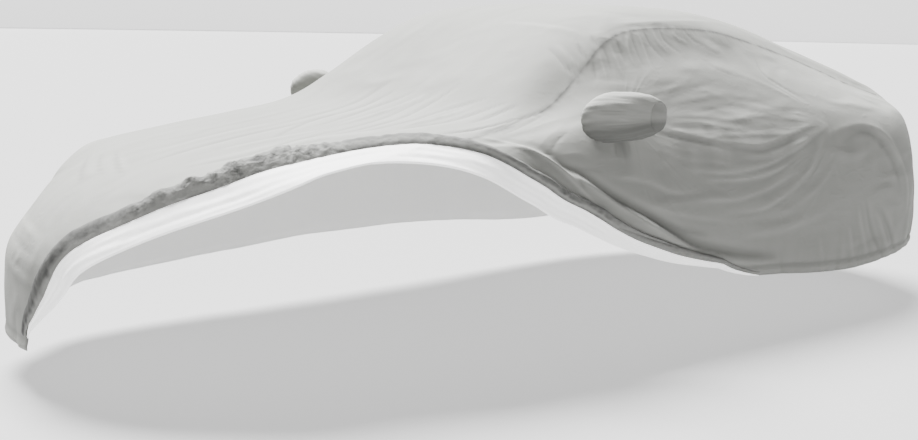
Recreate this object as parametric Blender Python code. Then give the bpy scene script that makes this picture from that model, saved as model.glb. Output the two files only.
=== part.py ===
"""Fitted fabric cover for a low two-door sports car, with its front near corner turned back.

The cloth is drawn first in the car's own measures: stations run back from the front axle, heights run up
from the ground, and widths run out from the middle. It is then moved so that the underside of its roof,
where the roof of the car carries it, is the origin. X runs back, Y to the car's right and Z up.
"""

from collections import namedtuple

import bmesh
import bpy
import numpy as np
from mathutils import Vector
from mathutils.bvhtree import BVHTree

# Driving dimensions, in metres.
CLOTH = 0.0025
PIECE_GAP = 0.0003
ROOF_MIDDLE = 12.5
HEM_ALLOWANCE = 0.012
CUFF_SLACK = 0.004
TOP_OF_FOLD = CUFF_SLACK + CLOTH
RUFFLE_DEPTH = 0.004
RUFFLES_PER_SECTION = 1.35
ROLL_UPPER, ROLL_LOWER, ROLL_HOLLOW = 0.022, 0.12, 0.035

# Grid steps: rows along the cloth for each section, and columns across each piece. The columns of the near
# side are gathered at the crest of the roll: shares of the way from the fold to it, and from it to the seam.
ROWS = 4
CENTRE_COLUMNS, FAR_SIDE_COLUMNS = 14, 9
LINING_COLUMNS, HEM_COLUMNS = 3, 5
BELOW_ROLL = (0.0, 0.4, 0.75, 1.0)
ABOVE_ROLL = (0.05, 0.12, 0.3, 0.5, 0.7, 0.85, 1.0)
ROLL_LOWEST, ROLL_HIGHEST = 0.10, 0.60
BEND_STEPS = 4
POCKET_SIDES = 20
CREASE_STEPS = 10

# One row for each section of the cover, from the front hem over the car to the rear hem. The spine is the
# middle of the cloth, the seam joins centre and side panel, the belt is the shoulder under the windows,
# the flank is the widest part of the body and the hem is the lower edge.
Section = namedtuple(
    "Section",
    "spine_x spine_z edge_z seam_x seam_y seam_z belt_y belt_z flank_y flank_z hem_x hem_y hem_z",
)
SECTIONS = {
    "front hem": Section(-0.98, 0.152, 0.152, -0.79, 0.62, 0.165, 0.70, 0.17, 0.77, 0.175, -0.50, 0.82, 0.17),
    "low nose": Section(-0.99, 0.33, 0.33, -0.775, 0.64, 0.33, 0.74, 0.30, 0.82, 0.25, -0.38, 0.865, 0.20),
    "nose": Section(-0.985, 0.47, 0.465, -0.74, 0.645, 0.46, 0.77, 0.41, 0.86, 0.32, -0.25, 0.89, 0.21),
    "high nose": Section(-0.905, 0.595, 0.58, -0.635, 0.65, 0.575, 0.80, 0.52, 0.885, 0.39, -0.10, 0.90, 0.22),
    "bonnet edge": Section(-0.775, 0.69, 0.685, -0.525, 0.675, 0.68, 0.82, 0.60, 0.90, 0.43, 0.05, 0.905, 0.23),
    "bonnet": Section(-0.55, 0.77, 0.78, -0.39, 0.695, 0.77, 0.84, 0.67, 0.91, 0.46, 0.18, 0.91, 0.24),
    "front wheel": Section(-0.20, 0.83, 0.832, -0.10, 0.70, 0.822, 0.85, 0.72, 0.91, 0.48, 0.32, 0.905, 0.25),
    "wing": Section(0.15, 0.88, 0.88, 0.20, 0.70, 0.862, 0.85, 0.77, 0.905, 0.50, 0.48, 0.90, 0.26),
    "scuttle": Section(0.42, 0.94, 0.925, 0.45, 0.69, 0.90, 0.84, 0.82, 0.90, 0.52, 0.62, 0.90, 0.27),
    "screen foot": Section(0.62, 1.045, 1.025, 0.66, 0.665, 0.955, 0.825, 0.86, 0.90, 0.54, 0.78, 0.90, 0.28),
    "screen": Section(0.86, 1.185, 1.145, 0.84, 0.64, 1.06, 0.81, 0.90, 0.90, 0.57, 0.94, 0.90, 0.28),
    "screen top": Section(1.08, 1.28, 1.25, 1.05, 0.605, 1.195, 0.80, 0.92, 0.90, 0.60, 1.12, 0.905, 0.28),
    "roof": Section(1.35, 1.325, 1.285, 1.33, 0.575, 1.24, 0.80, 0.925, 0.905, 0.62, 1.38, 0.91, 0.28),
    "roof end": Section(1.75, 1.32, 1.28, 1.75, 0.56, 1.23, 0.81, 0.92, 0.92, 0.60, 1.75, 0.925, 0.26),
    "rear screen": Section(2.15, 1.285, 1.22, 2.15, 0.55, 1.16, 0.845, 0.90, 0.93, 0.60, 2.10, 0.93, 0.23),
    "rear wheel": Section(2.50, 1.23, 1.135, 2.50, 0.545, 1.08, 0.865, 0.875, 0.935, 0.60, 2.40, 0.93, 0.22),
    "deck": Section(2.87, 1.13, 1.05, 2.84, 0.54, 0.995, 0.83, 0.85, 0.915, 0.59, 2.65, 0.92, 0.235),
    "deck end": Section(3.16, 1.025, 0.985, 3.10, 0.53, 0.94, 0.765, 0.835, 0.875, 0.57, 2.85, 0.88, 0.24),
    "tail top": Section(3.38, 0.935, 0.92, 3.26, 0.525, 0.895, 0.69, 0.79, 0.80, 0.56, 3.00, 0.835, 0.25),
    "tail": Section(3.50, 0.76, 0.75, 3.35, 0.485, 0.74, 0.645, 0.67, 0.75, 0.49, 3.11, 0.785, 0.25),
    "low tail": Section(3.52, 0.52, 0.51, 3.37, 0.48, 0.50, 0.615, 0.47, 0.69, 0.38, 3.17, 0.725, 0.255),
    "rear hem": Section(3.46, 0.27, 0.27, 3.33, 0.475, 0.27, 0.55, 0.27, 0.61, 0.265, 3.21, 0.68, 0.245),
}

# Where the named lines of a section lie across the cloth: 0 is the spine, 1 the seam and 2 the hem.
EDGE, SEAM, BELT, FLANK, HEM = 0.8, 1.0, 1.33, 1.68, 2.0
ACROSS = np.array([-HEM, -FLANK, -BELT, -SEAM, -EDGE, 0.0, EDGE, SEAM, BELT, FLANK, HEM])
ALONG = np.arange(len(SECTIONS), dtype=float)
EDGE_SHARE_BACK, EDGE_SHARE_OUT = 0.68, 0.86
BELT_SHARE, FLANK_SHARE = 0.38, 0.70

# The turned-back cuff. Each row gives a place along the cloth, the place across of the fold there, how wide
# the turned lining and the gathered hem are, and how high each stands off the cloth that it lies on.
Cuff = namedtuple("Cuff", "along fold lining_width lining_rise hem_width hem_rise")
CUFF = (
    Cuff(0.0, 0.215, 0.004, 0.004, 0.010, 0.006),
    Cuff(0.38, 0.170, 0.010, 0.005, 0.018, 0.008),
    Cuff(0.70, 0.035, 0.026, 0.007, 0.030, 0.014),
    Cuff(1.0, -0.075, 0.044, 0.009, 0.038, 0.020),
    Cuff(1.35, -0.165, 0.062, 0.012, 0.042, 0.025),
    Cuff(2.0, -0.275, 0.076, 0.014, 0.046, 0.030),
    Cuff(2.6, -0.43, 0.080, 0.016, 0.048, 0.034),
    Cuff(3.3, -0.60, 0.084, 0.018, 0.048, 0.036),
    Cuff(4.0, -0.78, 0.086, 0.019, 0.048, 0.036),
    Cuff(4.7, -0.94, 0.086, 0.019, 0.048, 0.036),
    Cuff(5.2, -0.972, 0.085, 0.019, 0.046, 0.034),
    Cuff(5.75, -1.01, 0.082, 0.018, 0.042, 0.030),
    Cuff(6.2, -1.15, 0.078, 0.017, 0.036, 0.024),
    Cuff(6.6, -1.37, 0.074, 0.016, 0.030, 0.020),
    Cuff(7.2, -1.525, 0.068, 0.014, 0.026, 0.017),
    Cuff(8.2, -1.65, 0.058, 0.012, 0.023, 0.015),
    Cuff(9.3, -1.775, 0.044, 0.010, 0.022, 0.014),
    Cuff(10.7, -1.885, 0.034, 0.008, 0.022, 0.012),
    Cuff(11.7, -1.94, 0.022, 0.007, 0.018, 0.010),
    Cuff(12.75, -1.985, 0.012, 0.006, 0.012, 0.008),
)
CUFF_START, SEAM_CROSSING, CUFF_END, CUFF_RUNS_OUT = 0.25, 5.75, 12.75, 0.7

# The slack of the near side lies in one long roll behind the cuff: where its crest runs and how proud it is.
Roll = namedtuple("Roll", "along across height")
ROLL = (
    Roll(6.6, -1.03, 0.0),
    Roll(7.35, -1.22, 0.012),
    Roll(7.75, -1.385, 0.020),
    Roll(8.45, -1.50, 0.028),
    Roll(9.1, -1.59, 0.031),
    Roll(9.8, -1.675, 0.031),
    Roll(10.7, -1.785, 0.029),
    Roll(11.6, -1.89, 0.022),
    Roll(12.4, -1.94, 0.014),
    Roll(13.2, -1.965, 0.0),
)

# Creases: each runs through three places along and across the cloth, and is a ridge or, below zero, a trough.
Crease = namedtuple("Crease", "along_1 across_1 along_2 across_2 along_3 across_3 width height")
CREASES = (
    # Long soft folds from the foot of the screen out over the bonnet.
    Crease(8.8, -0.56, 8.2, -0.20, 7.0, 0.14, 0.050, 0.010),
    Crease(8.4, -0.62, 7.6, -0.20, 6.4, 0.06, 0.045, 0.008),
    Crease(8.3, -0.78, 7.6, -0.52, 6.8, -0.30, 0.040, 0.008),
    # Twisted folds from the foot of the pillar down to the cuff.
    Crease(8.3, -0.97, 7.8, -0.89, 7.2, -0.81, 0.022, -0.010),
    Crease(8.5, -1.03, 7.9, -0.98, 7.2, -0.97, 0.022, -0.010),
    Crease(8.4, -1.00, 7.9, -0.94, 7.1, -0.90, 0.022, 0.009),
    # The second, shorter crest between the roll and the cuff.
    Crease(7.6, -1.30, 8.0, -1.41, 8.6, -1.53, 0.022, 0.010),
    # Pleats let into the roof seam over the door.
    Crease(10.9, -1.02, 10.7, -1.08, 10.4, -1.14, 0.022, 0.006),
    Crease(11.6, -1.01, 11.3, -1.10, 11.0, -1.17, 0.024, 0.006),
    Crease(12.1, -1.02, 12.1, -1.10, 12.2, -1.17, 0.024, 0.006),
    # Drape folds that fan out from the mirror pocket along the door and sag towards the rear wheel.
    Crease(11.6, -1.29, 12.6, -1.28, 13.9, -1.34, 0.035, 0.009),
    Crease(11.4, -1.36, 12.4, -1.41, 13.8, -1.45, 0.035, 0.010),
    Crease(11.3, -1.42, 12.5, -1.58, 14.1, -1.48, 0.045, 0.012),
    Crease(11.5, -1.50, 12.6, -1.66, 14.2, -1.52, 0.050, -0.009),
    Crease(13.2, -1.17, 13.7, -1.21, 14.1, -1.27, 0.035, 0.007),
    Crease(11.3, 1.42, 12.5, 1.56, 14.1, 1.48, 0.045, 0.012),
    Crease(11.6, 1.29, 12.6, 1.30, 13.9, 1.34, 0.035, 0.009),
    Crease(8.6, 1.10, 8.0, 1.30, 7.0, 1.45, 0.040, 0.010),
    # The cloth stands a little proud of the far wing.
    Crease(3.8, 0.78, 4.3, 0.84, 5.2, 0.95, 0.070, 0.012),
    # The cloth stretched over each rear wheel arch.
    Crease(14.1, -1.46, 15.1, -1.38, 16.5, -1.66, 0.045, 0.008),
    Crease(14.1, 1.46, 15.1, 1.38, 16.5, 1.66, 0.045, 0.008),
    # Flutes where the elastic gathers the rear hem.
    Crease(15.6, -1.82, 15.8, -1.91, 16.0, -2.0, 0.040, 0.009),
    Crease(17.2, -1.80, 17.3, -1.90, 17.5, -2.0, 0.040, 0.010),
    Crease(19.0, -1.76, 19.2, -1.88, 19.4, -2.0, 0.040, 0.010),
    Crease(16.4, 1.82, 16.6, 1.91, 16.8, 2.0, 0.040, 0.010),
    Crease(18.4, 1.78, 18.6, 1.89, 18.8, 2.0, 0.040, 0.010),
)

# A mirror pocket, ring by ring from the car outwards: half width, station and height of its middle, and the
# half length and half height of the ring. The sleeve is its rings, and the cap a dome on the last of them.
Ring = namedtuple("Ring", "out station height half_length half_height")
POCKET = (
    Ring(0.835, 0.830, 0.905, 0.100, 0.046),
    Ring(0.855, 0.765, 0.925, 0.132, 0.075),
    Ring(0.885, 0.765, 0.933, 0.134, 0.083),
    Ring(0.925, 0.800, 0.935, 0.120, 0.081),
    Ring(0.962, 0.845, 0.936, 0.094, 0.072),
    Ring(0.985, 0.897, 0.937, 0.045, 0.053),
)
POCKET_TIP = 0.012
POCKET_DOME = (0.75, 0.4, 0.0)
POCKET_ROUNDNESS = 2.6
POCKET_PULLED_BACK = {"left": 0.0, "right": 0.055}
CUT_FROM, CUT_TO = 0.60, 1.00

CLOTH_COLOUR = (0.52, 0.52, 0.50)
LINING_COLOUR = (0.86, 0.86, 0.85)
HEM_COLOUR = (0.40, 0.40, 0.39)
CLOTH_ROUGHNESS = 0.9


def hermite(start, end, slope_in, slope_out, step, u):
    """Cubic between two values that leaves and arrives at the given slopes."""
    first = start * (1 + 2 * u) * (1 - u) ** 2 + slope_in * step * u * (1 - u) ** 2
    second = end * u**2 * (3 - 2 * u) - slope_out * step * u**2 * (1 - u)
    return first + second


def interval(knots, at):
    """For each of at, the knot that it follows, the step to the next knot and the share of that step."""
    k = np.clip(np.searchsorted(knots, at, side="right") - 1, 0, len(knots) - 2)
    step = knots[k + 1] - knots[k]
    return k, step, (at - knots[k]) / step


def spline(knots, values, at):
    """Smooth curve through values, one for each knot, read at each of at."""
    slopes = np.gradient(values, knots, axis=0)
    k, step, u = interval(knots, at)
    shape = (-1,) + (1,) * (values.ndim - 1)
    return hermite(
        values[k], values[k + 1], slopes[k], slopes[k + 1], step.reshape(shape), u.reshape(shape)
    )


def named_lines(section):
    """The points of one section on the named lines, from the left hem to the right hem."""
    reach = section.hem_x - section.seam_x
    edge_x = section.spine_x + EDGE_SHARE_BACK * (section.seam_x - section.spine_x)
    half = [
        (section.spine_x, 0.0, section.spine_z),
        (edge_x, EDGE_SHARE_OUT * section.seam_y, section.edge_z),
        (section.seam_x, section.seam_y, section.seam_z),
        (section.seam_x + BELT_SHARE * reach, section.belt_y, section.belt_z),
        (section.seam_x + FLANK_SHARE * reach, section.flank_y, section.flank_z),
        (section.hem_x, section.hem_y, section.hem_z),
    ]
    left = [(x, -y, z) for x, y, z in half[:0:-1]]
    return np.array(left + half)


LINES = np.array([named_lines(section) for section in SECTIONS.values()])
CUFF_TABLE = np.array(CUFF)
ROLL_TABLE = np.array(ROLL)


def plain_points(along, across):
    """Points of the smooth cover, before its creases, at places given as arrays of one shape."""
    rows = spline(ALONG, LINES, along.ravel())
    slopes = np.gradient(rows, ACROSS, axis=1)
    k, step, u = interval(ACROSS, across.ravel())
    row = np.arange(len(k))
    points = hermite(
        rows[row, k], rows[row, k + 1], slopes[row, k], slopes[row, k + 1], step[:, None], u[:, None]
    )
    return points.reshape(along.shape + (3,))


def unit(vectors):
    return vectors / np.linalg.norm(vectors, axis=-1, keepdims=True)


def distance_to_line(points, line):
    """How far each point is from a line of straight steps, and how far along the line the nearest place is."""
    nearest = np.full(points.shape[:-1], np.inf)
    place = np.zeros(points.shape[:-1])
    for k, (start, end) in enumerate(zip(line[:-1], line[1:])):
        run = end - start
        share = np.clip((points - start) @ run / (run @ run), 0.0, 1.0)
        distance = np.linalg.norm(points - start - share[..., None] * run, axis=-1)
        place = np.where(distance < nearest, (k + share) / (len(line) - 1), place)
        nearest = np.minimum(nearest, distance)
    return nearest, place


def crease_height(crease, points):
    """A soft ridge or trough that fades out at both ends."""
    u = np.linspace(0.0, 1.0, CREASE_STEPS)
    weights = np.array([(1 - u) * (1 - 2 * u), 4 * u * (1 - u), u * (2 * u - 1)])
    along = np.array([crease.along_1, crease.along_2, crease.along_3]) @ weights
    across = np.array([crease.across_1, crease.across_2, crease.across_3]) @ weights
    distance, place = distance_to_line(points, plain_points(along, across))
    fade = np.sin(np.pi * np.clip(place, 0.02, 0.98)) ** 0.7
    return crease.height * fade * np.exp(-((distance / crease.width) ** 2))


def roll_height(points, along, across):
    """The roll: steep and slightly hollow above its crest, and falling gently to the cuff below it."""
    crest_along = np.linspace(ROLL[0].along, ROLL[-1].along, 40)
    crest = spline(ROLL_TABLE[:, 0], ROLL_TABLE[:, 1:], crest_along)
    distance, place = distance_to_line(points, plain_points(crest_along, crest[:, 0]))
    height = np.interp(place, np.linspace(0.0, 1.0, len(crest)), crest[:, 1])
    crest_across = np.interp(along, crest_along, crest[:, 0])
    hollow = 0.3 * np.exp(-(((distance - ROLL_HOLLOW) / ROLL_UPPER) ** 2))
    above = np.exp(-((distance / ROLL_UPPER) ** 2)) - hollow
    below = np.clip(1 - distance / ROLL_LOWER, 0.0, 1.0) ** 1.4
    return height * np.where(across > crest_across, above, below)


def cloth_points(along, across):
    """Points of the creased cover, and the outward direction at each."""
    step = 0.01
    plain = plain_points(along, across)
    back = plain_points(along + step, across) - plain_points(along - step, across)
    right = plain_points(along, across + step) - plain_points(along, across - step)
    outward = unit(np.cross(back, right))
    height = roll_height(plain, along, across)
    for crease in CREASES:
        height = height + crease_height(crease, plain)
    return plain + height[..., None] * outward, outward


def cuff_values(along):
    return spline(CUFF_TABLE[:, 0], CUFF_TABLE[:, 1:], along).T


def fold_across(along):
    """Where the near edge of the cloth lies: on the fold of the cuff, and on the hem behind it."""
    fold = cuff_values(np.clip(along, CUFF[0].along, CUFF_END))[0]
    reach = np.clip((along - CUFF_END) / CUFF_RUNS_OUT + 1, 0.0, 1.0)
    return np.maximum(fold, -HEM) * (1 - reach) - HEM * reach


def between(left, right, shares):
    """Places across the cloth at the given shares of the way from left to right."""
    return left[:, None] + np.asarray(shares) * (right - left)[:, None]


def near_side_columns(along):
    """Places across the near side, from the fold or hem to the crest of the roll and on to the seam."""
    fold = fold_across(along)
    lowest, highest = between(fold, np.full(len(along), -SEAM), (ROLL_LOWEST, ROLL_HIGHEST)).T
    crest = np.clip(np.interp(along, ROLL_TABLE[:, 0], ROLL_TABLE[:, 1]), lowest, highest)
    seam = np.full(len(along), -SEAM)
    return np.hstack([between(fold, crest, BELOW_ROLL), between(crest, seam, ABOVE_ROLL)])


def panel_faces(along, across):
    """Outer and inner faces of a panel over places across the cloth, half a gap short of its seams."""
    places = np.broadcast_to(along[:, None], across.shape)
    points, outward = cloth_points(places, across)
    for edge, beside in ((0, 1), (-1, -2)):
        at_seam = np.isclose(np.abs(across[:, edge]), SEAM)
        inwards = unit(points[:, beside] - points[:, edge])
        points[:, edge] += np.where(at_seam, PIECE_GAP / 2, 0.0)[:, None] * inwards
    return points, points - CLOTH * outward


def cuff_grid(along, distance, height, slope):
    """Both faces of a strip of the cuff, from how far in from the fold each point lies, its height off the
    cloth below, and how steeply the face rises there."""
    step = 0.02
    fold = fold_across(along)
    edge = plain_points(along, fold)
    ahead = plain_points(along + step, fold_across(along + step))
    back = (plain_points(along + step, fold) - edge) / step
    right = (plain_points(along, fold + step) - edge) / step
    outward = unit(np.cross(back, right))
    inwards = unit(np.cross(outward, ahead - edge))
    inwards *= np.sign(np.sum(inwards * right, axis=1))[:, None]
    # One metre inwards, counted in places along and across.
    frames = np.stack([back, right, outward], axis=2)
    shift = np.linalg.solve(frames, inwards[..., None])[:, :2]
    places_along = along[:, None] + shift[:, 0] * distance
    points, normal = cloth_points(places_along, fold[:, None] + shift[:, 1] * distance)
    face = unit(np.cos(slope)[..., None] * normal - np.sin(slope)[..., None] * inwards[:, None])
    outer = points + height[..., None] * normal
    return outer, outer - CLOTH * face


def lining_strip(along):
    """The inner face of the cloth, turned round the fold and laid back on the outer face."""
    _, width, rise, _, _ = cuff_values(along)[:, :, None]
    turn = np.linspace(0.0, np.pi, BEND_STEPS + 1)[None, :]
    radius = CLOTH / 2 + CUFF_SLACK + CLOTH
    share = np.linspace(0.0, 1.0, LINING_COLUMNS + 1)[None, 1:]
    ones = np.ones_like(width)
    lowest = -CLOTH / 2 - radius
    distance = np.hstack([HEM_ALLOWANCE * ones, -radius * np.sin(turn) * ones, width * share])
    laid_back = TOP_OF_FOLD + rise * share**1.3
    height = np.hstack([lowest * ones, (-CLOTH / 2 - radius * np.cos(turn)) * ones, laid_back])
    slope = np.hstack([np.pi * ones, (np.pi - turn) * ones, np.arctan(1.3 * share**0.3 * rise / width)])
    return cuff_grid(along, distance, height, slope)


def hem_strip(along):
    """The gathered hem beyond the lining, which stands up and curls back down to the cloth."""
    _, width, rise, hem_width, hem_rise = cuff_values(along)[:, :, None]
    u = np.linspace(0.0, 1.0, HEM_COLUMNS + 1)[None, :]
    ruffle = RUFFLE_DEPTH * np.sin(2 * np.pi * RUFFLES_PER_SECTION * along)[:, None] * np.sin(np.pi * u)
    foot = TOP_OF_FOLD + rise
    end = TOP_OF_FOLD + CUFF_SLACK
    distance = width + PIECE_GAP + hem_width * (1 - np.cos(np.pi * u)) / 2
    height = foot * (1 - u) + end * u + hem_rise * np.sin(np.pi * u) + ruffle
    run = hem_width * np.pi * np.sin(np.pi * u) / 2
    climb = end - foot + hem_rise * np.pi * np.cos(np.pi * u)
    return cuff_grid(along, distance, height, np.arctan2(climb, run + 1e-6))


def ring_outline(ring, wider=0.0):
    """Stations and heights around a pocket ring, a rounded box, or around one that is a little wider."""
    turn = np.linspace(0.0, 2 * np.pi, POCKET_SIDES + 1)
    power = 2 / POCKET_ROUNDNESS
    cosine, sine = np.cos(turn), np.sin(turn)
    length = (ring.half_length + wider) * np.sign(cosine) * np.abs(cosine) ** power
    height = (ring.half_height + wider) * np.sign(sine) * np.abs(sine) ** power
    length[-1], height[-1] = length[0], height[0]
    return ring.station + length, ring.height + height


def side_surface(out):
    """The creased side around the mirror, as a tree that rays can be cast at."""
    along, across = np.meshgrid(np.linspace(8.0, 11.5, 40), np.linspace(0.98, 1.7, 40), indexing="ij")
    points, _ = cloth_points(along, out * across)
    rows, columns = along.shape
    quads = [
        (i * columns + j, (i + 1) * columns + j, (i + 1) * columns + j + 1, i * columns + j + 1)
        for i in range(rows - 1)
        for j in range(columns - 1)
    ]
    return BVHTree.FromPolygons([Vector(point) for point in points.reshape(-1, 3)], quads)


def pocket_faces(side, out):
    """Both faces of a mirror pocket, sleeve and cap in one, from just inside the side panel to its tip."""
    surface = side_surface(out)
    back = POCKET_PULLED_BACK[side]
    stations, heights = ring_outline(POCKET[0])
    start = [
        abs(surface.ray_cast(Vector((x + back, out * 2.0, z)), Vector((0.0, -out, 0.0)))[0].y) - 2 * CLOTH
        for x, z in zip(stations, heights)
    ]
    rings = [(stations, start, heights)]
    rings += [(ring_outline(ring)[0], ring.out, ring_outline(ring)[1]) for ring in POCKET]
    last = POCKET[-1]
    stations, heights = ring_outline(last)
    for share in POCKET_DOME:
        x = last.station + share * (stations - last.station)
        z = last.height + share * (heights - last.height)
        rings.append((x, last.out + POCKET_TIP * (1 - share**2), z))
    points = np.array([np.stack([x + back, out * (y + np.zeros_like(x)), z], axis=1) for x, y, z in rings])
    loops = points[:, :-1]
    around = np.roll(loops, -1, axis=1) - np.roll(loops, 1, axis=1)
    outward = np.cross(around, np.gradient(loops, axis=0)) * -out
    outward[-1] = (0.0, out, 0.0)
    outward = unit(np.concatenate([outward, outward[:, :1]], axis=1))
    return points, points - CLOTH * outward


def split_pocket(faces):
    """The sleeve and the cap of a pocket, which meet at the last ring."""
    seam = len(POCKET)
    cap = [face[seam:].copy() for face in faces]
    for face in cap:
        face[0] += PIECE_GAP * unit(face[1] - face[0])
    return [face[: seam + 1] for face in faces], cap


def material(name, colour):
    finish = bpy.data.materials.new(name)
    finish.use_nodes = True
    shader = finish.node_tree.nodes["Principled BSDF"]
    shader.inputs["Base Color"].default_value = (*colour, 1.0)
    shader.inputs["Roughness"].default_value = CLOTH_ROUGHNESS
    shader.inputs["Metallic"].default_value = 0.0
    return finish


def add_object(name, shell, collection):
    mesh = bpy.data.meshes.new(name)
    shell.to_mesh(mesh)
    shell.free()
    piece = bpy.data.objects.new(name, mesh)
    collection.objects.link(piece)
    return piece


def add_piece(name, faces, finish, collection):
    """A sheet with thickness, from the grids of its outer and inner face."""
    outer, inner = (grid.transpose(1, 0, 2).reshape(-1, 3) - ORIGIN for grid in faces)
    rows, columns = faces[0].shape[:2]
    shell = bmesh.new()
    bmesh.ops.create_grid(shell, x_segments=rows - 1, y_segments=columns - 1, size=1.0)
    place = shell.verts.layers.int.new("place")
    for k, vert in enumerate(shell.verts):
        vert[place] = k
        vert.co = outer[k]
    bmesh.ops.remove_doubles(shell, verts=shell.verts[:], dist=1e-6)
    wall = bmesh.ops.extrude_face_region(shell, geom=shell.faces[:], use_keep_orig=True)
    for item in wall["geom"]:
        if isinstance(item, bmesh.types.BMVert):
            item.co = inner[item[place]]
    bmesh.ops.triangulate(shell, faces=shell.faces[:])
    bmesh.ops.recalc_face_normals(shell, faces=shell.faces[:])
    piece = add_object(name, shell, collection)
    piece.data.materials.append(finish)
    piece.data.shade_smooth()
    return piece


def cut_pocket_hole(panel, side, out, cutters):
    """Opens a side panel behind its mirror pocket, a little wider than the sleeve."""
    stations, heights = ring_outline(POCKET[0], 1.5 * PIECE_GAP)
    shell = bmesh.new()
    corners = [
        shell.verts.new(Vector((x + POCKET_PULLED_BACK[side], out * CUT_FROM, z)) - Vector(ORIGIN))
        for x, z in zip(stations[:-1], heights[:-1])
    ]
    wall = bmesh.ops.extrude_face_region(shell, geom=[shell.faces.new(corners)], use_keep_orig=True)
    ends = [item for item in wall["geom"] if isinstance(item, bmesh.types.BMVert)]
    bmesh.ops.translate(shell, verts=ends, vec=(0.0, out * (CUT_TO - CUT_FROM), 0.0))
    bmesh.ops.recalc_face_normals(shell, faces=shell.faces[:])
    cutter = add_object(panel.name + "_cutter", shell, cutters)
    cutter.hide_render = True
    cutter.display_type = "WIRE"
    hole = panel.modifiers.new("mirror_hole", "BOOLEAN")
    hole.object = cutter
    hole.operation = "DIFFERENCE"
    hole.solver = "EXACT"


def rows(start, end):
    return np.linspace(start, end, round((end - start) * ROWS) + 1)


def main():
    for old in list(bpy.data.objects):
        bpy.data.objects.remove(old)
    cover = bpy.data.collections.new("car_cover")
    cutters = bpy.data.collections.new("cutters")
    bpy.context.scene.collection.children.link(cover)
    bpy.context.scene.collection.children.link(cutters)
    cloth = material("outer_cloth", CLOTH_COLOUR)
    lining = material("inner_face", LINING_COLOUR)
    gathered = material("gathered_hem", HEM_COLOUR)

    length = rows(0.0, ALONG[-1])
    fold = np.where(length > SEAM_CROSSING, -SEAM, np.maximum(fold_across(length), -SEAM))
    seam, hem = np.full(len(length), SEAM), np.full(len(length), HEM)
    centre = between(fold, seam, np.linspace(0.0, 1.0, CENTRE_COLUMNS + 1))
    add_piece("centre_panel", panel_faces(length, centre), cloth, cover)

    far_side = between(seam, hem, np.linspace(0.0, 1.0, FAR_SIDE_COLUMNS + 1))
    right = add_piece("side_panel_right", panel_faces(length, far_side), cloth, cover)
    cut_pocket_hole(right, "right", 1, cutters)

    behind = rows(SEAM_CROSSING, ALONG[-1])
    left = add_piece("side_panel_left", panel_faces(behind, near_side_columns(behind)), cloth, cover)
    cut_pocket_hole(left, "left", -1, cutters)

    turned = rows(CUFF_START, CUFF_END)
    add_piece("turned_lining", lining_strip(turned), lining, cover)
    add_piece("turned_hem", hem_strip(turned), gathered, cover)

    for side, out in (("left", -1), ("right", 1)):
        sleeve, cap = split_pocket(pocket_faces(side, out))
        add_piece(f"mirror_sleeve_{side}", sleeve, cloth, cover)
        add_piece(f"mirror_cap_{side}", cap, cloth, cover)


ROOF, ROOF_OUTWARD = cloth_points(np.array([ROOF_MIDDLE]), np.array([0.0]))
ORIGIN = (ROOF - CLOTH * ROOF_OUTWARD)[0]

main()
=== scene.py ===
"""Looks of a fitted car cover whose near front corner is turned back in a white-lined cuff.

The cloth is drawn again here from the sections of its solids, in their own measures (stations along the
cover, heights from the ground), at a step fine enough for creases, crumples and the gathered hem.
"""

import math
from collections import namedtuple

import bmesh
import bpy
import numpy as np
from bpy.props import FloatProperty, FloatVectorProperty, PointerProperty
from mathutils import Matrix, Vector, noise


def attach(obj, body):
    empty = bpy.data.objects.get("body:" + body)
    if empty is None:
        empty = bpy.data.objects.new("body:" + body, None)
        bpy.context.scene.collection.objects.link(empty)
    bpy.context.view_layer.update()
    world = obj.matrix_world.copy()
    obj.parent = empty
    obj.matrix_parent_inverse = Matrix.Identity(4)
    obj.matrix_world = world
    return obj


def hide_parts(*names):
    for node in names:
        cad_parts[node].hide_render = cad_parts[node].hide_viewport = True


bl_info = {
    "name": "Fitted car cover",
    "version": (1, 0, 0),
    "blender": (4, 5, 0),
    "location": "View3D > Sidebar > Cover",
    "description": "Draped cloth, turned-back cuff and mirror pockets of a fitted car cover",
    "category": "Add Mesh",
}

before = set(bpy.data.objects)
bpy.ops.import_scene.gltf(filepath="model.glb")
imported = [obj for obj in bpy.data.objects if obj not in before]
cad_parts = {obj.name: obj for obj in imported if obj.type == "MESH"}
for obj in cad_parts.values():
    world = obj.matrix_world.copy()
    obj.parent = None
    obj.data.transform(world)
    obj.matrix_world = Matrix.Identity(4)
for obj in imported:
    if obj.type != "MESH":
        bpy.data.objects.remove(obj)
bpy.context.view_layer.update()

# ---------------------------------------------------------------------------
# The shape of the cloth
# ---------------------------------------------------------------------------

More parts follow.
